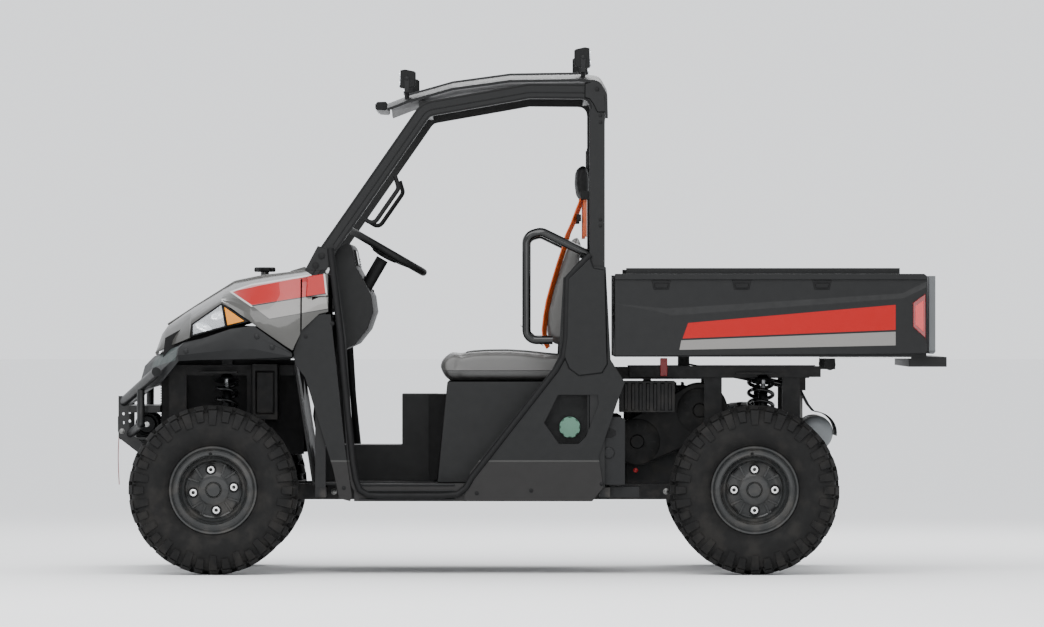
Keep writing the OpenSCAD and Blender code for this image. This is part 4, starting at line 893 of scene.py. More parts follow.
for at, wide, tall, depth in (((1.236, 0.941), 0.034, 0.018, 0.008), ((1.182, 0.985), 0.028, 0.017, 0.008)):
    x = (at[0] - axle_front.x) / math.cos(math.radians(18))
    rings = []
    for r, d in ((1.0, -0.0095), (0.96, -0.004), (0.80, -0.0075), (0.45, -0.0095), (0.22, -0.0060), (0.06,
            -0.0050)):
        rings.append([lamp_point(x + wide * r * math.cos(a), d, at[1] + tall * r * math.sin(a)
                                 + 0.28 * wide * r * math.cos(a) * (1 if tall > 0.0175 else -0.6))
                      for a in (2 * math.pi * k / 32 for k in range(32))])
    chrome.loft(rings)
surround.mirror().build("headlight_surrounds", soft_black, ["headlights"], bevel=0.001, slot="lamp_lens")
lens.mirror().build("headlight_lenses", clear_lens)
amber.mirror().build("amber_reflectors", amber_lens, bevel=0.001)
chrome.mirror().build("headlight_reflectors", mirror_chrome, angle=50)


# ---------------------------------------------------------------- fascia, grille and bumper
# Charcoal fenders and nose moulding with a greenish-grey grille, clipped on; in front of them a welded
# tube bumper with bent side plates, bolted to the frame, that carries the winch.
fascia_plastic = coating("fascia_plastic", (0.0058, 0.0061, 0.0064), 0.50, grain=1500, depth=0.00018,
                         dust=0.12, slot="moulded_plastic")
insert_tone = (0.034, 0.044, 0.042)
fascia_base = fascia_plastic.mix(fascia_plastic.noise(4.5, 4), (0.0053, 0.0056, 0.006), (0.0064, 0.0068,
        0.0071))
fascia_plastic.shade(Base_Color=fascia_plastic.mix(
    inside(fascia_plastic, [(1.424, 0.828), (1.329, 0.872), (1.341, 0.815), (1.441, 0.785)], 0.001)
    * side_of(fascia_plastic, 0.34), fascia_base, insert_tone))
refined("front_fascia", fascia_plastic, 0.0015, angle=30)
grille_plastic = coating("grille_plastic", insert_tone, 0.45, grain=1200, depth=0.00015, dust=0.1,
                         slot="grille_plastic")
refined("grille", grille_plastic, 0.0015)
liner = Solid().plate([(0.862, 0.452), (0.862, 0.812), (1.372, 0.812), (1.372, 0.640), (1.300, 0.452)],
                      0.262, 0.266)
liner.plate([(0.905, 0.815), (0.905, 0.905), (1.000, 0.940), (1.285, 0.955), (1.385, 0.900), (1.395, 0.815)],
            0.552, 0.556)
liner.mirror().build("fender_liners", soft_black)
clip_dome = Solid().lathe([(-0.004, 0.0), (-0.004, 0.010), (0.003, 0.0095), (0.0052, 0.006), (0.006, 0.0)],
                          (0, 0, 0), (0, 1, 0), 20)
fender_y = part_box("front_fascia")[1].y
for hand, side in (("left", 1), ("right", -1)):
    grow("fender_clips_" + hand, spots_tree, fascia_plastic, {"Part": facing(clip_dome, side)},
         [(x, side * (fender_y - sunk), z) for x, sunk, z in
          ((1.030, 0.003, 0.905), (0.972, 0.002, 0.866), (1.300, 0.006, 0.850))])
bumper_paint = coating("bumper_paint", (0.0051, 0.0055, 0.0058), 0.36, grain=1200, depth=0.00012, coat=0.1,
                       dust=0.1, slot="frame_steel")
refined("bumper", bumper_paint, 0.002, angle=35)
bumper_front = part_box("bumper")[1].x
screws("bumper_bolts", [(bumper_front - 0.110, 0.278, 0.480), (bumper_front - 0.130, 0.278, 0.455),
                        (bumper_front - 0.014, 0.278, 0.540)],
       0.008, 0.006, (0, 1, 0), zinc)


# ---------------------------------------------------------------- winch
# Electric winch: motor and gearbox either side of a drum wound with synthetic rope, a roller fairlead in
# front and a forged hook in a loop of red webbing that hangs from it.
winch_case = coating("winch_case", (0.0045, 0.0048, 0.0051), 0.40, grain=500, depth=0.0003, metal=0.3,
                     slot="cast_metal")
rope_fibre = coating("rope_fibre", (0.104, 0.1092, 0.1144), 0.82, grain=1800, depth=0.0006, mottle=0.3,
                     slot="webbing")
hook_paint = coating("hook_paint", (0.0156, 0.039, 0.0624), 0.35, grain=600, depth=0.0002, mottle=0.2,
                     metal=0.4, slot="cast_metal")
strap_web = coating("strap_web", (0.286, 0.0234, 0.0286), 0.80, grain=900, depth=0.0003, slot="webbing")
strap_web.relief(abs(((strap_web.z + strap_web.x) * 330).fraction() - 0.5)
                 + abs(((strap_web.y + strap_web.z) * 330).fraction() - 0.5), 0.0004)
drum = Vector((bumper_front - 0.108, 0, 0.566))
case = Solid()
for side in (1, -1):
    case.lathe([(0.150, 0.0), (0.150, 0.046), (0.154, 0.047), (0.186, 0.047), (0.190, 0.044), (0.190, 0.0)],
               drum,
               (0, side, 0), 40)
    case.block((drum.x - 0.043, min(side * 0.152, side * 0.188), 0.517), (drum.x + 0.043, max(side * 0.152,
            side * 0.188), 0.560))
case.lathe([(0.188, 0.0), (0.188, 0.036), (0.222, 0.036), (0.228, 0.031), (0.229, 0.0)], drum, (0, 1, 0), 40)
case.lathe([(-0.150, 0.022), (0.150, 0.022)], drum, (0, 1, 0), 32)
case.build("winch_case", winch_case, ["winch"], bevel=0.0015)
Solid().lathe([(0.2285, 0.0), (0.2285, 0.010), (0.2305, 0.010), (0.2315, 0.007), (0.2315, 0.0)], drum, (0,
        1, 0),
              20).build("winch_cap", nut_steel)
turn_of_rope = Solid().lathe([(0.0042 * math.sin(a), 0.032 + 0.0042 * math.cos(a))
                              for a in (2 * math.pi * k / 10 for k in range(11))], (0, 0, 0), (0, 1, 0), 40)
row_of("winch_rope", turn_of_rope, 34, (drum.x, -0.1425, drum.z), (0, 0.0086, 0), rope_fibre, angle=60)
fairlead = Solid().plate([(bumper_front - 0.003, 0.530), (bumper_front + 0.001, 0.530),
                          (bumper_front + 0.001, 0.600), (bumper_front - 0.003, 0.600)], -0.080, 0.080)
for z in (0.538, 0.592):
    fairlead.lathe([(-0.058, 0.004), (-0.058, 0.0075), (0.058, 0.0075), (0.058, 0.004)],
                   (bumper_front + 0.004, 0, z), (0, 1, 0), 20)
for y in (-0.066, 0.066):
    fairlead.lathe([(-0.028, 0.004), (-0.028, 0.0075), (0.028, 0.0075), (0.028, 0.004)],
                   (bumper_front + 0.004, y, 0.565), (0, 0, 1), 20)
fairlead.build("fairlead", winch_case, bevel=0.0008)
hook_path = [(bumper_front + 0.006, 0.0, 0.572)] + [
    (bumper_front + 0.004 + 0.0055 * math.sin(math.radians(a)) * 0.6, 0.024 * math.sin(math.radians(a)),
     0.548 + 0.024 * math.cos(math.radians(a))) for a in range(15, 260, 20)]
Solid().tube(hook_path, [0.0055] * 8 + [0.0050] * 4 + [0.0040, 0.0025], 12).build(
    "winch_hook", hook_paint, angle=60)
strap_x, strap_top, strap_low = bumper_front + 0.0075, 0.536, 0.330
strap = Solid()
strap_side = []
for k in range(15):
    t = k / 14
    strap_side.append((strap_x + 0.004 * math.sin(3.1 * t), 0.004 * math.sin(5 * t),
                       strap_top + (strap_low - strap_top) * t))
strap.loft([[(x, y - 0.012, z), (x, y + 0.012, z), (x + 0.0022, y + 0.012, z), (x + 0.0022, y - 0.012, z)]
            for x, y, z in strap_side])
hook_strap = strap.build("hook_strap", strap_web, angle=60)


# ---------------------------------------------------------------- floor, sills and side panels
# Rotomoulded charcoal panels, textured, screwed to the frame: floor with a ribbed mat, centre console,
# panels behind the front wheels and between seat and box. A soft black trim rolls round the door opening.
body_plastic = coating("body_plastic", (0.0048, 0.0051, 0.0051), 0.52, grain=1500, depth=0.00018, mottle=0.12,
                       dust=0.14, slot="moulded_plastic")
# A thin light line along the panel's step at 0.4315 m on the outer faces is a painted highlight. Below the
# step the panel takes a lighter tone and is sunk by bumps.
painted_ridge_highlight = (abs(body_plastic.z - 0.4315) * -1.0 + 0.0045).ramp(0.0, 0.0025) * side_of(body_plastic, 0.68)
body_low = body_plastic.z.ramp(0.4300, 0.4285) * side_of(body_plastic, 0.68)
body_tone = body_plastic.mix(body_plastic.noise(4.5, 4), (0.0043, 0.0046, 0.0047), (0.0055, 0.0057, 0.0058))
body_tone = body_plastic.mix(body_low * 0.8, body_tone, (0.0139, 0.013, 0.0126))
body_plastic.shade(Base_Color=body_plastic.mix(painted_ridge_highlight, body_tone, (0.040, 0.040, 0.038)))
body_plastic.relief(body_plastic.noise(1500, 2) * 0.08 + body_low * -1.0, 0.002)
for name in ("cowl_panels", "quarter_panels", "seat_base", "floor"):
    refined(name, body_plastic, 0.003)
console_back = Solid().plate([(0.383, 0.349), (0.350, 0.349), (0.314, 0.682), (0.383, 0.682)], -0.1385,
                             0.1385)
console_back.build("console_back", soft_black, bevel=0.002)

# Raised facet behind the seat, above the filler
panel_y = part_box("quarter_panels")[1].y
facet = Solid()
facet.plate([(-0.252, 1.168), (-0.250, 1.172), (-0.236, 1.210), (-0.146, 1.122), (-0.134, 0.830), (-0.153,
        0.782),
             (-0.193, 0.753), (-0.283, 0.764), (-0.305, 0.800), (-0.296,
                                                                 1.160)], panel_y - 0.002, panel_y + 0.007,
            0.006)
facet.mirror().build("panel_facets", body_plastic, bevel=0.002)

# Rolled trim along the door opening, from the pillar's foot down, along the sill and up behind the seat
door_line = [(0.752, 1.240), (0.712, 0.900), (0.702, 0.780), (0.684, 0.600), (0.666, 0.428), (0.655, 0.362),
             (0.640, 0.322), (0.610, 0.303), (0.560, 0.300), (0.450, 0.300), (0.330, 0.300), (0.268, 0.305),
             (0.236, 0.330), (0.212, 0.372), (0.150, 0.450), (0.060, 0.566), (-0.106, 0.778), (-0.134, 0.828),
             (-0.144, 0.900), (-0.150, 1.128), (-0.190, 1.170), (-0.236, 1.216)]
trim = Solid().tube([(x, panel_y - 0.004, z) for x, z in door_line], 0.0125, 14)
trim.mirror().build("door_trims", soft_black, angle=60)
sill = Solid()
for z, r in ((0.341, 0.004), (0.318, 0.0035), (0.285, 0.005)):
    sill.tube([(0.640 - 0.36 * k / 6, panel_y - 0.009, z) for k in range(7)], r, 8)
sill.mirror().build("sill_beads", fascia_plastic, angle=60)
screws("panel_screws", [(0.744, panel_y, 0.955), (0.845, panel_y, 0.905), (0.700, panel_y, 0.330),
                        (-0.232, panel_y, 1.130), (-0.280, panel_y, 0.345), (0.195, panel_y, 0.310),
                        (-0.012, panel_y, 0.320)],
       0.006, 0.0035, (0, 1, 0), soft_black)
floor_top = 0.347
mat_rib = Solid().block((-0.170, -0.004, -0.001), (0.170, 0.004, 0.004))
for name, y in (("left", 0.180), ("right", -0.600)):
    row_of("mat_ribs_" + name, mat_rib, 22, (0.530, y, floor_top), (0, 0.020, 0), soft_black)
pedals = Solid()
for y, z, w in ((0.405, 0.500, 0.060), (0.300, 0.520, 0.085)):
    pedals.loft([[(0.790 + 0.018 * s, y - w / 2, z - 0.05 + 0.10 * t), (0.790 + 0.018 * s, y + w / 2,
            z - 0.05 + 0.10 * t),
                  (0.796 + 0.018 * s, y + w / 2, z - 0.05 + 0.10 * t), (0.796 + 0.018 * s, y - w / 2,
                          z - 0.05 + 0.10 * t)]
                 for s, t in ((-0.6, 0.0), (0.1, 0.5), (1.0, 1.0))])
    pedals.tube([(0.800, y, z), (0.818, y, z + 0.10), (0.806, y, z + 0.22), (0.822, y, z + 0.26)], 0.007, 10)
pedals.build("pedals", powder_coat, bevel=0.0012)
pedal_rib = Solid().block((-0.001, -0.022, -0.0025), (0.0035, 0.022, 0.0025))
row_of("pedal_ribs", pedal_rib, 6, (0.7835, 0.300, 0.480), (0.0028, 0, 0.0150), soft_black)

# Bracket and step support behind the quarter panel
bracket = Solid()
bracket.plate([(-0.273, 0.600), (-0.273, 0.340), (-0.370, 0.340), (-0.370, 0.590), (-0.352, 0.600)], 0.664,
              0.670)
bracket.block((-0.425, 0.560, 0.292), (-0.300, 0.640, 0.334))
bracket.lathe([(-0.004, 0.0), (-0.004, 0.022), (0.004, 0.022), (0.007, 0.018), (0.007, 0.0)], (-0.307,
        0.670, 0.463),
              (0, 1, 0), 32)
bracket.mirror().build("rear_brackets", fascia_plastic, bevel=0.003, slot="frame_steel")
# The brackets' holes are not cut: a thin black plate on each bracket's face is painted shade where the hole
# would show.
hole_shade = Solid().plate([(-0.292, 0.520), (-0.292, 0.556), (-0.318, 0.556), (-0.334, 0.546), (-0.334, 0.530),
                      (-0.318, 0.520)], 0.668, 0.6715)
hole_shade.mirror().build("bracket_holes", soft_black, bevel=0.001, slot="frame_steel")
cap_green = coating("filler_cap", (0.0806, 0.1716, 0.1248), 0.45, grain=900, depth=0.0002, mottle=0.1,
                    slot="filler_cap")
refined("fuel_cap", cap_green, 0.004, rounds=3)


# ---------------------------------------------------------------- cab frame and roof
# Square-section steel cab frame with a sealing groove along its outer face, bolted through cover plates
# at its feet; a crowned plastic roof laps over it and is held by corner caps.
cab_paint = coating("cab_paint", (0.0035, 0.0037, 0.0038), 0.40, grain=1400, depth=0.00012, mottle=0.10,
                    slot="cab_steel")
refined("cab_frame", cab_paint, 0.007, rounds=3, angle=25)
tube_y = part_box("cab_frame")[1].y


def rounded(points, r, n=5):
    """A polyline with each inner corner turned into an arc."""
    line = [Vector(points[0])]
    for i in range(1, len(points) - 1):
        a, p, b = (Vector(q) for q in points[i - 1:i + 2])
        u, v = (a - p).normalized(), (b - p).normalized()
        half = u.angle(v) / 2
        centre = p + (u + v).normalized() * r / math.sin(half)
        start, stop = p + u * r / math.tan(half) - centre, p + v * r / math.tan(half) - centre
        turn = start.angle(stop)
        line += [centre + (start * math.sin((1 - t) * turn) + stop * math.sin(t * turn)) / math.sin(turn)
                 for t in (k / n for k in range(n + 1))]
    return line + [Vector(points[-1])]


roof_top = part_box("roof")[1].z
cab_line = rounded([(0.850, 1.158), (0.406, roof_top - 0.115), (-0.002, roof_top - 0.043),
                    (-0.292, roof_top - 0.045), (-0.292, 0.360)], 0.090, 8)


def along_cab(inset, first=0, last=None):
    """Points at the tube's outer face, inset from the frame's outer edge."""
    line = cab_line[first:last]
    out = []
    for k, p in enumerate(line):
        run = (line[min(k + 1, len(line) - 1)] - line[max(k - 1, 0)]).normalized()
        out.append((p.x - run.y * inset, p.y + run.x * inset))
    return out


groove = Solid()
for inset, r in ((0.034, 0.0022), (0.006, 0.0018), (0.052, 0.0020)):
    groove.tube([(x, tube_y, z) for x, z in along_cab(inset, 0, -1)], r, 8)
groove.mirror().build("cab_seams", soft_black, slot="cab_steel", angle=60)
foot = Solid().plate([(0.848, 1.158), (0.766, 1.158), (0.728, 1.230), (0.802, 1.246)], tube_y - 0.003,
                     tube_y + 0.004)
foot.mirror().build("foot_plates", cab_paint, bevel=0.0015)
screws("foot_bolts", [(0.785, tube_y + 0.004, 1.212), (0.808, tube_y + 0.004, 1.175)], 0.0105, 0.006, (0, 1,
        0),
       soft_black)
screws("pillar_bolts", [(-0.275, tube_y, z) for z in (1.746, 1.720, 1.350, 1.327)], 0.0055, 0.004, (0, 1, 0),
       soft_black)

roof_plastic = coating("roof_plastic", (0.0042, 0.0043, 0.0045), 0.46, grain=1500, depth=0.00018,
                       mottle=0.12, slot="moulded_plastic")
refined("roof", roof_plastic, 0.002, angle=40)
roof_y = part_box("roof")[1].y
roof_line = rounded([(0.536, roof_top - 0.112), (0.458, roof_top - 0.082), (0.288, roof_top - 0.034),
                     (0.068, roof_top - 0.004), (-0.192, roof_top), (-0.272, roof_top - 0.006)], 0.036, 4)
ribs = Solid()
for y in (-0.44, -0.22, 0.0, 0.22, 0.44):
    rings = []
    for k, p in enumerate(roof_line[2:-1]):
        ends = k == 0 or k == len(roof_line) - 4
        z = p.y - 0.026 * abs(y / roof_y) ** 6
        up = 0.0005 if ends else 0.006
        rings.append([(p.x, y - 0.060, z - 0.003), (p.x, y + 0.060, z - 0.003), (p.x, y + 0.048, z + up),
                      (p.x, y - 0.048, z + up)])
    ribs.loft(rings)
ribs.build("roof_ribs", roof_plastic, bevel=0.002)
caps = Solid().plate([(-0.214, 1.868), (-0.248, 1.878), (-0.276, 1.868), (-0.294, 1.846), (-0.300, 1.756),
                      (-0.262, 1.757), (-0.246, 1.790), (-0.232, 1.808), (-0.214, 1.812)],
                     tube_y - 0.002, tube_y + 0.009, 0.004)
caps.mirror().build("roof_corner_caps", roof_plastic, bevel=0.0025)
screws("cap_screws", [(-0.262, tube_y + 0.009, 1.846)], 0.007, 0.004, (0, 1, 0), soft_black)


# ---------------------------------------------------------------- work lights and light bar
# Cast aluminium lamps with cooling fins on steel brackets, two at the front and two facing back, and a
# long bar of lamps under the roof's front lip.
lamp_case = coating("lamp_case", (0.0032, 0.0034, 0.0035), 0.42, grain=700, depth=0.0002, metal=0.3,
                    slot="cast_metal")
light_lens = coating("light_lens", (0.78, 0.81, 0.84), 0.08, grain=80, depth=0.00005, mottle=0.03, coat=0.8,
                     slot="lamp_lens")
light_lens.shade(Alpha=0.35)
cases, lenses, mirrors, brackets = Solid(), Solid(), Solid(), Solid()
front_z, rear_z = roof_top - 0.078, roof_top
for x, y, z, way, tall in ((0.4615, 0.6300, front_z + 0.053, 1, 0.036), (-0.2100, 0.6200, rear_z + 0.056,
        -1, 0.040)):
    body = [(x - way * 0.030, z + f * tall * 0.80) for f in (-1, 1)] + [(x + way * 0.006, z + tall), (
        x + way * 0.024, z + tall * 0.92), (x + way * 0.026, z - tall * 0.92), (x + way * 0.006, z - tall)]
    cases.plate(body, y - 0.036, y + 0.036)
    for k in range(6):
        fin_x = x - way * 0.034
        cases.block((min(fin_x, x - way * 0.028), y - 0.0315 + 0.0126 * k - 0.0018, z - tall * 0.72),
                    (max(fin_x, x - way * 0.028), y - 0.0315 + 0.0126 * k + 0.0018, z + tall * 0.72))
    face_x = x + way * 0.026
    lenses.block((min(face_x, face_x + way * 0.004), y - 0.031, z - tall * 0.82),
                 (max(face_x, face_x + way * 0.004), y + 0.031, z + tall * 0.82))
    for dy in (-0.0155, 0.0155):
        for dz in (-0.46, 0.46):
            mirrors.lathe([(0.0005, 0.0030), (0.0005, 0.0055), (0.0030, 0.0125), (0.0035, 0.0138), (0.0,
                    0.0138)],
                          (face_x, y + dy, z + dz * tall), (way, 0, 0), 20)
    for dy in (-0.040, 0.0375):
        brackets.plate([(x - 0.008, z - tall - 0.014), (x + 0.008, z - tall - 0.014), (x + 0.010, z + 0.006),
                        (x, z + 0.012), (x - 0.010, z + 0.006)], y + dy, y + dy + 0.0025)
    brackets.block((x - 0.012, y - 0.040, z - tall - 0.016), (x + 0.012, y + 0.040, z - tall - 0.0125))
    brackets.lathe([(-0.032, 0.0), (-0.032, 0.009), (0.0, 0.009), (0.0, 0.0)], (x, y, z - tall - 0.012), (0,
            0, 1), 16)
    brackets.lathe([(0.040, 0.0), (0.040, 0.007), (0.044, 0.007), (0.045, 0.004), (0.045, 0.0)], (x, y,
            z + 0.002),
                   (0, 1, 0), 20)
bar_low = Vector((0.540, -0.420, roof_top - 0.140))
cases.plate([(0.540, bar_low.z + 0.004), (0.546, bar_low.z), (0.578, bar_low.z + 0.002), (0.582,
        bar_low.z + 0.006),
             (0.582, bar_low.z + 0.028), (0.577, bar_low.z + 0.033), (0.546, bar_low.z + 0.034),
             (0.540, bar_low.z + 0.030)], -0.420, 0.420)
cases.mirror().build("lamp_cases", lamp_case, ["roof_lights"], bevel=0.0012)
lenses.mirror().build("lamp_lenses", light_lens, bevel=0.0008)
mirrors.mirror().build("lamp_reflectors", mirror_chrome, angle=50)
brackets.mirror().build("lamp_brackets", powder_coat, bevel=0.0006)
diode = Solid().lathe([(0.0, 0.0035), (0.0, 0.0060), (0.0030, 0.0120), (0.0042, 0.0128), (0.0042, 0.0115)],
                      (0, 0, 0), (1, 0, 0), 16)
row_of("bar_reflectors", diode, 28, (0.5815, -0.405, bar_low.z + 0.017), (0, 0.030, 0), mirror_chrome)
Solid().block((0.5822, -0.412, bar_low.z + 0.005), (0.5850, 0.412, bar_low.z + 0.029)).build(
    "bar_lens", light_lens, bevel=0.0008)


# ---------------------------------------------------------------- grab handles and hip bars
# Steel tubes: the hip bars in gloss black paint beside the seats, the grab handles on the front pillars
# in a soft rubber sleeve.
tube_gloss = coating("tube_gloss", (0.0029, 0.0031, 0.0032), 0.24, grain=500, depth=0.00004, coat=0.4,
                     slot="frame_steel")
refined("hip_bars", tube_gloss, 0.0, angle=60)
refined("grab_handles", soft_black, 0.0, angle=60)


# ---------------------------------------------------------------- dashboard
# Textured moulding with an instrument pod, vents, a row of rocker switches and a glovebox lid; the pod's
# dial has a glossy coated face.
dash_plastic = coating("dash_plastic", (0.0027, 0.0029, 0.0029), 0.58, grain=900, depth=0.0004, mottle=0.12,
                       slot="moulded_plastic")
refined("dashboard", dash_plastic, 0.004, rounds=3)
refined("steering_column", dash_plastic, 0.002)


def on_dash(y, up):
    """A point on the dashboard's face and the face's direction, at a height."""
    face = [(0.682, 1.262), (0.674, 1.236), (0.662, 1.170), (0.603, 1.060), (0.595, 1.000), (0.618, 0.935)]
    for (x0, z0), (x1, z1) in zip(face, face[1:]):
        if z1 <= up <= z0:
            t = (z0 - up) / (z0 - z1)
            run = Vector((x1 - x0, 0, z1 - z0)).normalized()
            return Vector((x0 + (x1 - x0) * t, y, up)), Vector((run.z, 0, -run.x))
    raise ValueError(up)


def dash_tile(shape, y, z, wide, tall, high, inset=0.0):
    """A rectangular pad that stands on the dashboard's face."""
    centre, out = on_dash(y, z)
    up = Vector((0, 1, 0)).cross(out)
    up = up if up.z > 0 else -up
    rings = []
    for h, cut in ((-0.004, 0.0), (high, inset)):
        rings.append([centre + out * h + Vector((0, sy * (wide / 2 - cut), 0)) + up * sz * (tall / 2 - cut)
                      for sy, sz in ((-1, -1), (1, -1), (1, 1), (-1, 1))])
    return shape.loft(rings)


pod, dials, switches = Solid(), Solid(), Solid()
dash_tile(pod, 0.330, 1.205, 0.230, 0.070, 0.014, 0.006)
for y in (-0.560, -0.160, 0.120, 0.560):
    dash_tile(pod, y, 1.190, 0.070, 0.050, 0.006, 0.004)
dash_tile(pod, -0.330, 1.112, 0.380, 0.080, 0.006, 0.006)
dash_tile(pod, 0.0, 1.100, 0.200, 0.090, 0.008, 0.006)
pod.build("dash_pads", dash_plastic, bevel=0.003, rounds=3)
for k in range(6):
    dash_tile(switches, -0.078 + 0.0312 * k, 1.118, 0.022, 0.034, 0.016, 0.003)
dash_tile(switches, -0.330, 1.078, 0.070, 0.012, 0.012, 0.002)
for y in (-0.560, -0.160, 0.120, 0.560):
    for dz in (-0.015, -0.005, 0.005, 0.015):
        dash_tile(switches, y, 1.190 + dz, 0.058, 0.004, 0.010, 0.0005)
switches.build("dash_switches", soft_black, bevel=0.0012)
dial_face = Paint("dial_face", "lamp_lens")
dial_spot, dial_out = on_dash(0.330, 1.205)
reach = dial_face.node("ShaderNodeVectorMath", {"operation": "DISTANCE"},
                       {0: dial_face.place, 1: tuple(dial_spot + dial_out * 0.016)}, "Value")
sweep_angle = dial_face.node("ShaderNodeMath", {"operation": "ARCTAN2"},
                             {0: dial_face.y - 0.330, 1: dial_face.z - dial_spot.z})
ticks = (abs((sweep_angle * 6.366).fraction() - 0.5) * -1.0 + 0.10).ramp(0.0, 0.02) * reach.ramp(0.021,
        0.0212) \
    * reach.ramp(0.0262, 0.0260)
dial_face.shade(Base_Color=dial_face.mix(ticks, (0.012, 0.014, 0.018), (0.75, 0.78, 0.80)),
                Roughness=0.2 + dial_face.noise(40) * 0.1, Coat_Weight=0.6)
dash_tile(dials, 0.330, 1.205, 0.180, 0.056, 0.0155, 0.002)
dials.build("dial_panel", dial_face, bevel=0.001)


# ---------------------------------------------------------------- steering wheel
# Three-spoke wheel: a polyurethane rim with a fine grain, moulded spokes and a padded boss, on its
# column at 60 degrees from the floor.
wheel_grip = coating("wheel_grip", (0.0023, 0.0024, 0.0024), 0.55, grain=1600, depth=0.0004, mottle=0.15,
                     slot="moulded_plastic")
wheel_hub = Vector((0.542, 0.330, 1.232))
wheel_axis = Vector((-0.5, 0, 0.866))
wheel_r = 0.161
wheel_turn = Matrix.Rotation(math.radians(-30), 3, "Y")
wheel = Solid()
wheel.lathe([(0.0145 * math.sin(a),
              wheel_r + 0.0145 * math.cos(a)) for a in (2 * math.pi * k / 20 for k in range(21))],
            wheel_hub, wheel_axis, 72)
for turn in (180, 60, -60):
    spin = wheel_turn @ Matrix.Rotation(math.radians(turn), 3, "Z")
    wheel.loft([[wheel_hub + spin @ Vector(p) for p in
                 ((r, -w, low), (r, w, low), (r, w * 0.7, low + thick), (r, -w * 0.7, low + thick))]
                for r, w, low, thick in ((0.030, 0.026, -0.024, 0.014), (0.070, 0.019, -0.020, 0.013),
                                         (0.120, 0.015, -0.012, 0.012), (0.154, 0.017, -0.006, 0.011))])
wheel.build("steering_rim", wheel_grip, ["steering_wheel"], bevel=0.002,
            angle=45, body="steering_wheel")
boss = Solid().lathe([(-0.028, 0.0), (-0.028, 0.020), (-0.024, 0.050), (-0.012, 0.055), (-0.004, 0.050),
                      (0.000, 0.036), (0.0005, 0.0)], wheel_hub, wheel_axis, 48)
boss.build("steering_boss", dash_plastic, angle=40, body="steering_wheel")


# ---------------------------------------------------------------- seats
# Foam cushions and backs under grey vinyl, with a darker welted band round their lower edge; they sit on
# a moulded base. Each is blown up a little by a cloth simulation so that its sides swell between corners.
vinyl = coating("seat_vinyl", (0.091, 0.0894, 0.0863), 0.50, grain=1100, depth=0.0004, mottle=0.08,
                slot="vinyl")
vinyl_dark = coating("seat_vinyl_dark", (0.0328, 0.0323, 0.0316), 0.55, grain=1100, depth=0.0004,
                     mottle=0.10, slot="vinyl_dark")


def banded(name, light, dark, level):
    """Two tones of vinyl that meet in a sewn seam at a height."""
    paint = Paint(name, "vinyl")
    cut = paint.z + (paint.noise(3) - 0.5) * 0.003
    upper = cut.ramp(level - 0.0015, level + 0.0015)
    seam = (abs(cut - level) * -1.0 + 0.004).ramp(0.0, 0.003)
    tone = paint.mix(upper, dark, light)
    tone = paint.mix(paint.noise(6, 4) * 0.35, tone, (0.060, 0.059, 0.057))
    stitch = seam * abs((paint.x * 120 + paint.y * 120).fraction() - 0.5).ramp(0.12, 0.16)
    paint.shade(Base_Color=paint.mix(stitch, tone, (0.045, 0.045, 0.045)),
                Roughness=0.48 + (paint.noise(30) - 0.5) * 0.2)
    paint.relief(paint.noise(1100, 2) * 0.10 - seam, 0.003)
    return paint


def blown(name, shape, paint, cap, replaces, voxel=0.006):
    """A closed pad, remeshed and inflated by cloth, its movement capped, then smoothed."""
    mesh = bpy.data.meshes.new(name)
    mesh.from_pydata(shape.points, [], shape.faces)
    piece = dressed(name, mesh, paint, replaces, 0.0, 180, 2, "chassis")
    fine = piece.modifiers.new("fine", "REMESH")
    fine.mode, fine.voxel_size, fine.use_smooth_shade = "VOXEL", voxel, True
    bpy.context.view_layer.objects.active = piece
    with bpy.context.temp_override(object=piece, active_object=piece):
        bpy.ops.object.modifier_apply(modifier="fine")
    for k in range(6):
        relax(piece.data)
    start = [v.co.copy() for v in piece.data.vertices]
    cloth = piece.modifiers.new("cloth", "CLOTH")
    cloth.settings.use_pressure = True
    cloth.settings.uniform_pressure_force = 4.0
    cloth.settings.effector_weights.gravity = 0
    cloth.settings.quality = 4
    for frame_number in range(1, 21):
        bpy.context.scene.frame_set(frame_number)
    swollen = [v.co.copy() for v in
               piece.evaluated_get(bpy.context.evaluated_depsgraph_get()).data.vertices]
    piece.modifiers.remove(cloth)
    bpy.context.scene.frame_set(1)
    for v, a, b in zip(piece.data.vertices, start, swollen):
        move = b - a
        v.co = a + move * min(1.0, cap / max(move.length, 1e-9))
    piece.data.materials.clear()
    piece.data.materials.append(paint.material)
    piece.data.shade_smooth()
    return piece


def relax(mesh):
    """One step of smoothing: every point moves half-way to the middle of its neighbours."""
    work = bmesh.new()
    work.from_mesh(mesh)
    bmesh.ops.smooth_vert(work, verts=work.verts, factor=0.5, use_axis_x=True, use_axis_y=True,
                          use_axis_z=True)
    work.to_mesh(mesh)
    work.free()


def crowned(outline, y_middle, half, crown, steps=14):
    """A side outline swept across a seat, its sections smaller and rounder towards both ends."""
    shape = Solid()
    n = len(outline)
    cx, cz = sum(p[0] for p in outline) / n, sum(p[1] for p in outline) / n
    rings = []
    for k in range(steps + 1):
        f = -1 + 2 * k / steps
        f = math.sin(f * math.pi / 2)
        size = 1 - crown * abs(f) ** 4
        rings.append([(cx + (x - cx) * (0.35 + 0.65 * size), y_middle + f * half, cz + (z - cz) * size)
                      for x, z in outline])
    return shape.loft(rings)


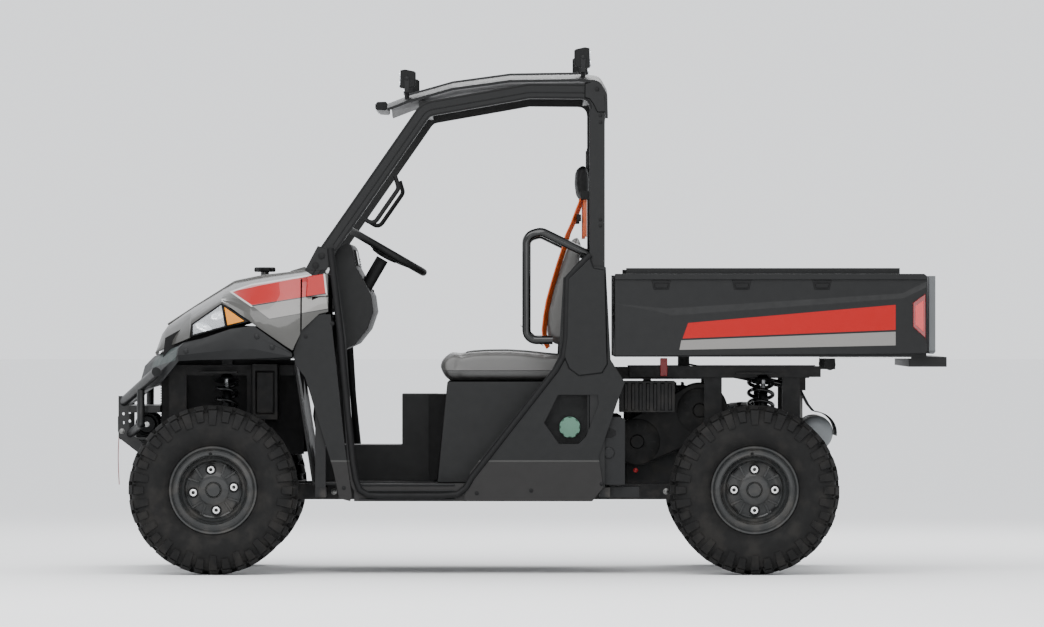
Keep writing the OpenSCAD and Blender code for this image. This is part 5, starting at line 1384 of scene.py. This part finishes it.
seat_mid = (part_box("seat_cushions")[1].y + 0.034) / 2
seat_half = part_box("seat_cushions")[1].y - seat_mid
cushion_line = [(-0.262, 0.740), (-0.100, 0.739), (0.100, 0.739), (0.308, 0.740), (0.326, 0.752), (0.338,
        0.772),
                (0.344, 0.790), (0.338, 0.812), (0.322, 0.828), (0.298, 0.835), (0.262, 0.830), (0.222,
                        0.838),
                (0.160, 0.842), (0.080, 0.843), (0.000, 0.838), (-0.090, 0.828), (-0.180, 0.822), (-0.262,
                        0.820)]
back_line = [(-0.150, 0.872), (-0.108, 0.868), (-0.084, 0.886), (-0.079, 0.930), (-0.082, 0.990), (-0.104,
        1.085),
             (-0.134, 1.180), (-0.158, 1.250), (-0.176, 1.288), (-0.194, 1.292), (-0.200, 1.270), (-0.190,
                     1.180),
             (-0.172, 1.050), (-0.166, 0.960)]
rest_line = [(-0.228, 1.428), (-0.208, 1.432), (-0.192, 1.456), (-0.186, 1.500), (-0.189, 1.545), (-0.204,
        1.565),
             (-0.222, 1.564), (-0.230, 1.500)]
cushion_vinyl = banded("cushion_vinyl", (0.088, 0.086, 0.083), (0.034, 0.0335, 0.0325), 0.772)
cushions, backs = {}, {}
for hand, side in (("left", 1), ("right", -1)):
    pad = crowned(cushion_line, side * seat_mid, seat_half - 0.008, 0.12)
    cushions[side] = blown("seat_cushion_" + hand, pad, cushion_vinyl, 0.008,
                           ["seat_cushions"] if side > 0 else ())
    pad = crowned(back_line, side * seat_mid, seat_half - 0.018, 0.14)
    backs[side] = blown("seat_back_" + hand, pad, vinyl, 0.006, ["seat_backs"] if side > 0 else ())
    pad = crowned(rest_line, side * seat_mid, 0.118, 0.25)
    blown("headrest_" + hand, pad, soft_black, 0.004, ["headrests"] if side > 0 else (),
          voxel=0.005)

# Sewn channels and welts laid on the finished pads, and the posts of the head restraints


def laid(pad, points, towards):
    """Points moved onto a pad's surface along a direction; those that miss it are left out."""
    found = []
    for p in points:
        hit, place, _, _ = pad.ray_cast(Vector(p) - Vector(towards) * 0.2, towards)
        if hit:
            found.append(place)
    return found


welts, posts = Solid(), Solid()
for side in (1, -1):
    y = side * seat_mid
    spread = [-1 + j / 8 for j in range(17)]
    seams = [(cushions[side], [(x, y + f * 0.165, 0.84) for f in spread], (0, 0, -1))
             for x in (0.235, 0.145, 0.055, -0.035)]
    seams += [(cushions[side], [(0.060 + 0.175 * f, y + d * 0.165, 0.84) for f in spread], (0, 0,
            -1)) for d in (-1, 1)]
    seams += [(backs[side], [(-0.09, y + f * 0.150, z) for f in spread], (-1, 0, 0))
              for z in (0.950, 1.030, 1.110, 1.190)]
    seams += [(backs[side], [(-0.09, y + d * 0.150, 1.070 + 0.120 * f) for f in spread], (-1, 0,
            0)) for d in (-1, 1)]
    for pad, points, towards in seams:
        line = laid(pad, points, towards)
        if len(line) > 1:
            welts.tube(line, 0.0034, 8)
    for dy in (-0.060, 0.060):
        posts.tube([(-0.236, y + dy, 1.545), (-0.240, y + dy, 1.585), (-0.242, y + dy, 1.612)], 0.007, 12)
        posts.block((-0.243, y + dy - 0.014, 1.560), (-0.226, y + dy + 0.014, 1.628))
welts.build("seat_welts", vinyl_dark, angle=60)
posts.build("headrest_posts", powder_coat, bevel=0.0015)


# ---------------------------------------------------------------- seat belts
# Three-point belts in orange webbing from a guide on the pillar over the seat's shoulder to the buckle,
# with the retractor's strap behind, black plastic guides and buckles with a red release.
webbing = Paint("belt_webbing", "webbing")
weave = (abs(((webbing.z + webbing.y) * 420).fraction() - 0.5)
         + abs(((webbing.z - webbing.y) * 420).fraction() - 0.5))
webbing.shade(Base_Color=webbing.mix(weave * 0.5, (0.55, 0.075, 0.004), (0.68, 0.110, 0.008)),
              Roughness=0.72 + (webbing.noise(60) - 0.5) * 0.15)
webbing.relief(weave, 0.0004)
belts, guides, releases = Solid(), Solid(), Solid()
out_y, in_y = 0.290 + 0.200, 0.290 - 0.210
belt_line = [(-0.212, out_y + 0.022, 1.440), (-0.196, out_y + 0.018, 1.400), (-0.176, out_y + 0.015, 1.345),
             (-0.155, out_y + 0.012, 1.300), (-0.140, out_y + 0.008, 1.245), (-0.119, out_y, 1.180),
             (-0.098, out_y - 0.006, 1.110), (-0.080, out_y - 0.011, 1.045), (-0.069, out_y - 0.016, 0.985),
             (-0.063, out_y - 0.019, 0.930), (-0.066, out_y - 0.022, 0.885), (-0.078, out_y - 0.024, 0.862)]


def ribbon(shape, line, wide, thick, twist):
    """Flat webbing along a line, turned by twist from lying across the vehicle."""
    rings = []
    for k, p in enumerate(line):
        run = (Vector(line[min(k + 1, len(line) - 1)]) - Vector(line[max(k - 1, 0)])).normalized()
        across = (Vector((0, 1, 0)) - run * run.y).normalized()
        across = Matrix.Rotation(math.radians(twist), 3, run) @ across
        out = across.cross(run)
        p = Vector(p)
        rings.append([p + across * a * wide / 2 + out * b * thick / 2 for a, b in ((-1, -1), (1, -1), (1,
                1), (-1, 1))])
    return shape.loft(rings)


ribbon(belts, belt_line, 0.046, 0.0024, 20)
ribbon(belts, [(-0.2185, out_y + 0.020, 1.440 - 0.022 * k) for k in range(8)], 0.046, 0.0022, 14)
guides.block((-0.232, out_y - 0.014, 1.428), (-0.200, out_y + 0.056, 1.462))
guides.block((-0.203, out_y - 0.012, 1.345), (-0.186, out_y + 0.046, 1.372))
guides.loft([[(x - 0.022 * s, in_y - 0.046, z), (x - 0.022 * s, in_y - 0.014, z), (x + 0.016, in_y - 0.014,
        z + 0.020),
              (x + 0.016, in_y - 0.046, z + 0.020)] for x, z, s in ((-0.040, 0.866, 1), (0.002, 0.915, 1),
                                                                    (0.016, 0.930, 0.7))])
releases.block((0.002, in_y - 0.042, 0.936), (0.020, in_y - 0.018, 0.9475))
belts.mirror().build("seat_belts_webbing", webbing, ["seat_belts"], angle=60)
guides.mirror().build("belt_guides", soft_black, bevel=0.003, rounds=3)
releases.mirror().build("belt_releases", red_plastic, bevel=0.002)


# ---------------------------------------------------------------- cargo box
# A rotomoulded box: floor and inner walls with shallow ribs, creased outer side panels with three latch
# pockets each, red and silver graphic panels, red lamps, and a steel step bar behind. It tips as one.
box_plastic = coating("box_plastic", (0.0048, 0.0051, 0.0053), 0.52, grain=1400, depth=0.0002, mottle=0.12,
                      dust=0.10, slot="moulded_plastic")
refined("cargo_box", box_plastic, 0.003)
box_rib = Solid().loft([[(-0.545, -0.014, -0.001), (0.545, -0.014, -0.001), (0.545, 0.014, -0.001), (-0.545,
        0.014, -0.001)],
                        [(-0.540, -0.009, 0.005), (0.540, -0.009, 0.005), (0.540, 0.009, 0.005), (-0.540,
                                0.009, 0.005)]])
row_of("box_floor_ribs", box_rib, 15, (-0.930, -0.595, 0.846), (0, 0.085, 0), box_plastic, "cargo_box")
panel = coating("box_panel", (0.0051, 0.0054, 0.0056), 0.50, grain=1400, depth=0.0002, mottle=0.1,
                dust=0.08, slot="moulded_plastic")
panel_tone = panel.mix(panel.noise(4.5, 4), (0.0047, 0.0049, 0.0051), (0.0058, 0.0061, 0.0063))
red_box = [(-0.608, 0.957), (-1.396, 1.026), (-1.396, 0.931), (-0.587, 0.898)]
silver_box = [(-0.582, 0.891), (-1.396, 0.924), (-1.396, 0.872), (-0.575, 0.855)]
panel.shade(Base_Color=graphics(panel, panel_tone, [(red_box, graphic_red), (silver_box, graphic_silver)],
                                0.7))
out_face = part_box("box_side_panels")[1].y
skin_points = [(-0.330, 0.832, 4), (-0.330, 1.030, 8), (-0.330, 1.126, 8), (-1.515, 1.126, 8), (-1.515,
        1.116, 8),
               (-1.422, 1.070, 8), (-0.526, 1.012, 8), (-0.495, 1.000, 4), (-0.403, 0.832, 4), (-0.440,
                       0.832, 0),
               (-0.548, 0.985, 0), (-1.427, 1.051, 0), (-1.515, 1.094, 0), (-1.515, 0.842, 0)]
skin_faces = [(2, 1, 6, 5, 4, 3), (1, 7, 6), (0, 8, 7, 1), (8, 9, 10, 7), (7, 10, 6), (6, 10, 11, 5), (5,
        11, 12, 4),
              (9, 13, 12, 11, 10)]
skin_edge = [0, 8, 9, 13, 12, 4, 3, 2, 1]
side_skin = Solid()
points = [(x, out_face - d * 0.001, z) for x, z, d in skin_points]
backs = [(points[i][0], out_face - 0.012, points[i][2]) for i in skin_edge]
faces = [list(f) for f in skin_faces]
n = len(points)
for i in range(len(skin_edge)):
    j = (i + 1) % len(skin_edge)
    faces.append([skin_edge[i], skin_edge[j], n + j, n + i])
faces.append([n + i for i in range(len(skin_edge))])
side_skin.add(points + backs, faces)
side_skin.plate([(-0.330, 1.122), (-0.330, 1.144), (-1.505, 1.144), (-1.515, 1.136), (-1.515, 1.122)],
                0.694, out_face)
side_skin.block((-1.507, 0.690, 0.842), (-1.499, out_face - 0.010, 1.130))
side_skin.block((-0.338, 0.694, 0.832), (-0.330, out_face - 0.010, 1.130))
side_skin.mirror().build("box_sides", panel, ["box_side_panels"], bevel=0.002,
                         angle=12, body="cargo_box")
latch = Solid()
latch.plate([(-0.0390, 1.122), (0.0390, 1.122), (0.0300, 1.082), (-0.0300, 1.082)], -0.010, -0.001, 0.003)
latch.plate([(-0.0300, 1.1100), (0.0300, 1.1100), (0.0240, 1.0880), (-0.0240, 1.0880)], -0.010, 0.004, 0.003)
latch_xs = (-0.506, -0.8115, -1.1165)
for hand, side in (("left", 1), ("right", -1)):
    grow("box_latches_" + hand, spots_tree, soft_black, {"Part": facing(latch, side)},
         [(x, side * (out_face - 0.004), 0) for x in latch_xs], body="cargo_box")
rail = Solid().tube([(-1.108 - 0.058 * k, 0.690, 0.826) for k in range(7)], 0.004, 10)
rail.mirror().build("box_tie_rails", nut_steel, angle=60, body="cargo_box")

# Rear lamps: a red surround with a brighter lens set in it
lamp_red = coating("lamp_red", (0.156, 0.0031, 0.0052), 0.20, grain=120, depth=0.0001, mottle=0.1, coat=0.7,
                   slot="tail_lens")
lens_red = coating("lens_red", (0.42, 0.004, 0.005), 0.16, grain=120, depth=0.0001, mottle=0.06, coat=0.9,
                   slot="tail_lens")
lens_red.relief(abs((lens_red.z * 160).fraction() - 0.5) + abs((lens_red.x * 160).fraction() - 0.5), 0.0006)
lamp_line = [(-1.461, 1.034), (-1.511, 1.070), (-1.511, 0.896), (-1.461, 0.942)]
lens_line = [(-1.469, 1.022), (-1.504, 1.046), (-1.504, 0.920), (-1.469, 0.950)]
Solid().plate(lamp_line, out_face - 0.002, out_face + 0.0065, 0.0025).mirror().build(
    "tail_lamp_frames", lamp_red, ["tail_lights"], bevel=0.0012, body="cargo_box")
Solid().plate(lens_line, out_face + 0.003, out_face + 0.0078, 0.002).mirror().build(
    "tail_lamp_lenses", lens_red, bevel=0.001, body="cargo_box")

# Red release lever beside the box's front
refined("release_lever", red_plastic, 0.003, rounds=3)


# ---------------------------------------------------------------- tailgate
# Light grey painted steel gate with pressed ribs and a black pull handle, on a hinge tube at its foot.
gate_paint = coating("gate_paint", (0.088, 0.092, 0.095), 0.38, grain=500, depth=0.0002, mottle=0.08,
                     metal=0.25,
                     dust=0.1, slot="gate_metal")
refined("tailgate", gate_paint, 0.003)
gate_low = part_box("tailgate")[0]
gate_face = gate_low.x + 0.0125
gate_rib = Solid().loft([[(0.001, -0.620, -0.026), (0.001, 0.620, -0.026), (0.001, 0.620, 0.026), (0.001,
        -0.620, 0.026)],
                         [(-0.005, -0.612, -0.018), (-0.005, 0.612, -0.018), (-0.005, 0.612, 0.018),
                          (-0.005, -0.612, 0.018)]])
row_of("gate_ribs", gate_rib, 2, (gate_face, 0, 0.900), (0, 0, 0.080), gate_paint, "tailgate")
pull = Solid().tube([(gate_low.x + 0.004, -0.075, 1.078), (gate_low.x - 0.006, -0.065, 1.078),
                     (gate_low.x - 0.006, 0.065, 1.078),
                     (gate_low.x + 0.004, 0.075, 1.078)], 0.006, 12)
pull.build("gate_handle", soft_black, angle=60, body="tailgate")
screws("gate_screws", [(gate_face, y, 1.110) for y in (0.200, 0.420, 0.640)], 0.006, 0.004, (1, 0, 0), zinc,
       "tailgate")


# ---------------------------------------------------------------- lift strut
# A gas strut that helps to tip the box: black cylinder, bright rod, eyes at both ends.
refined("lift_strut_tube", tube_gloss, 0.001, angle=40)
refined("lift_strut_rod", rod_chrome, 0.001, angle=40)
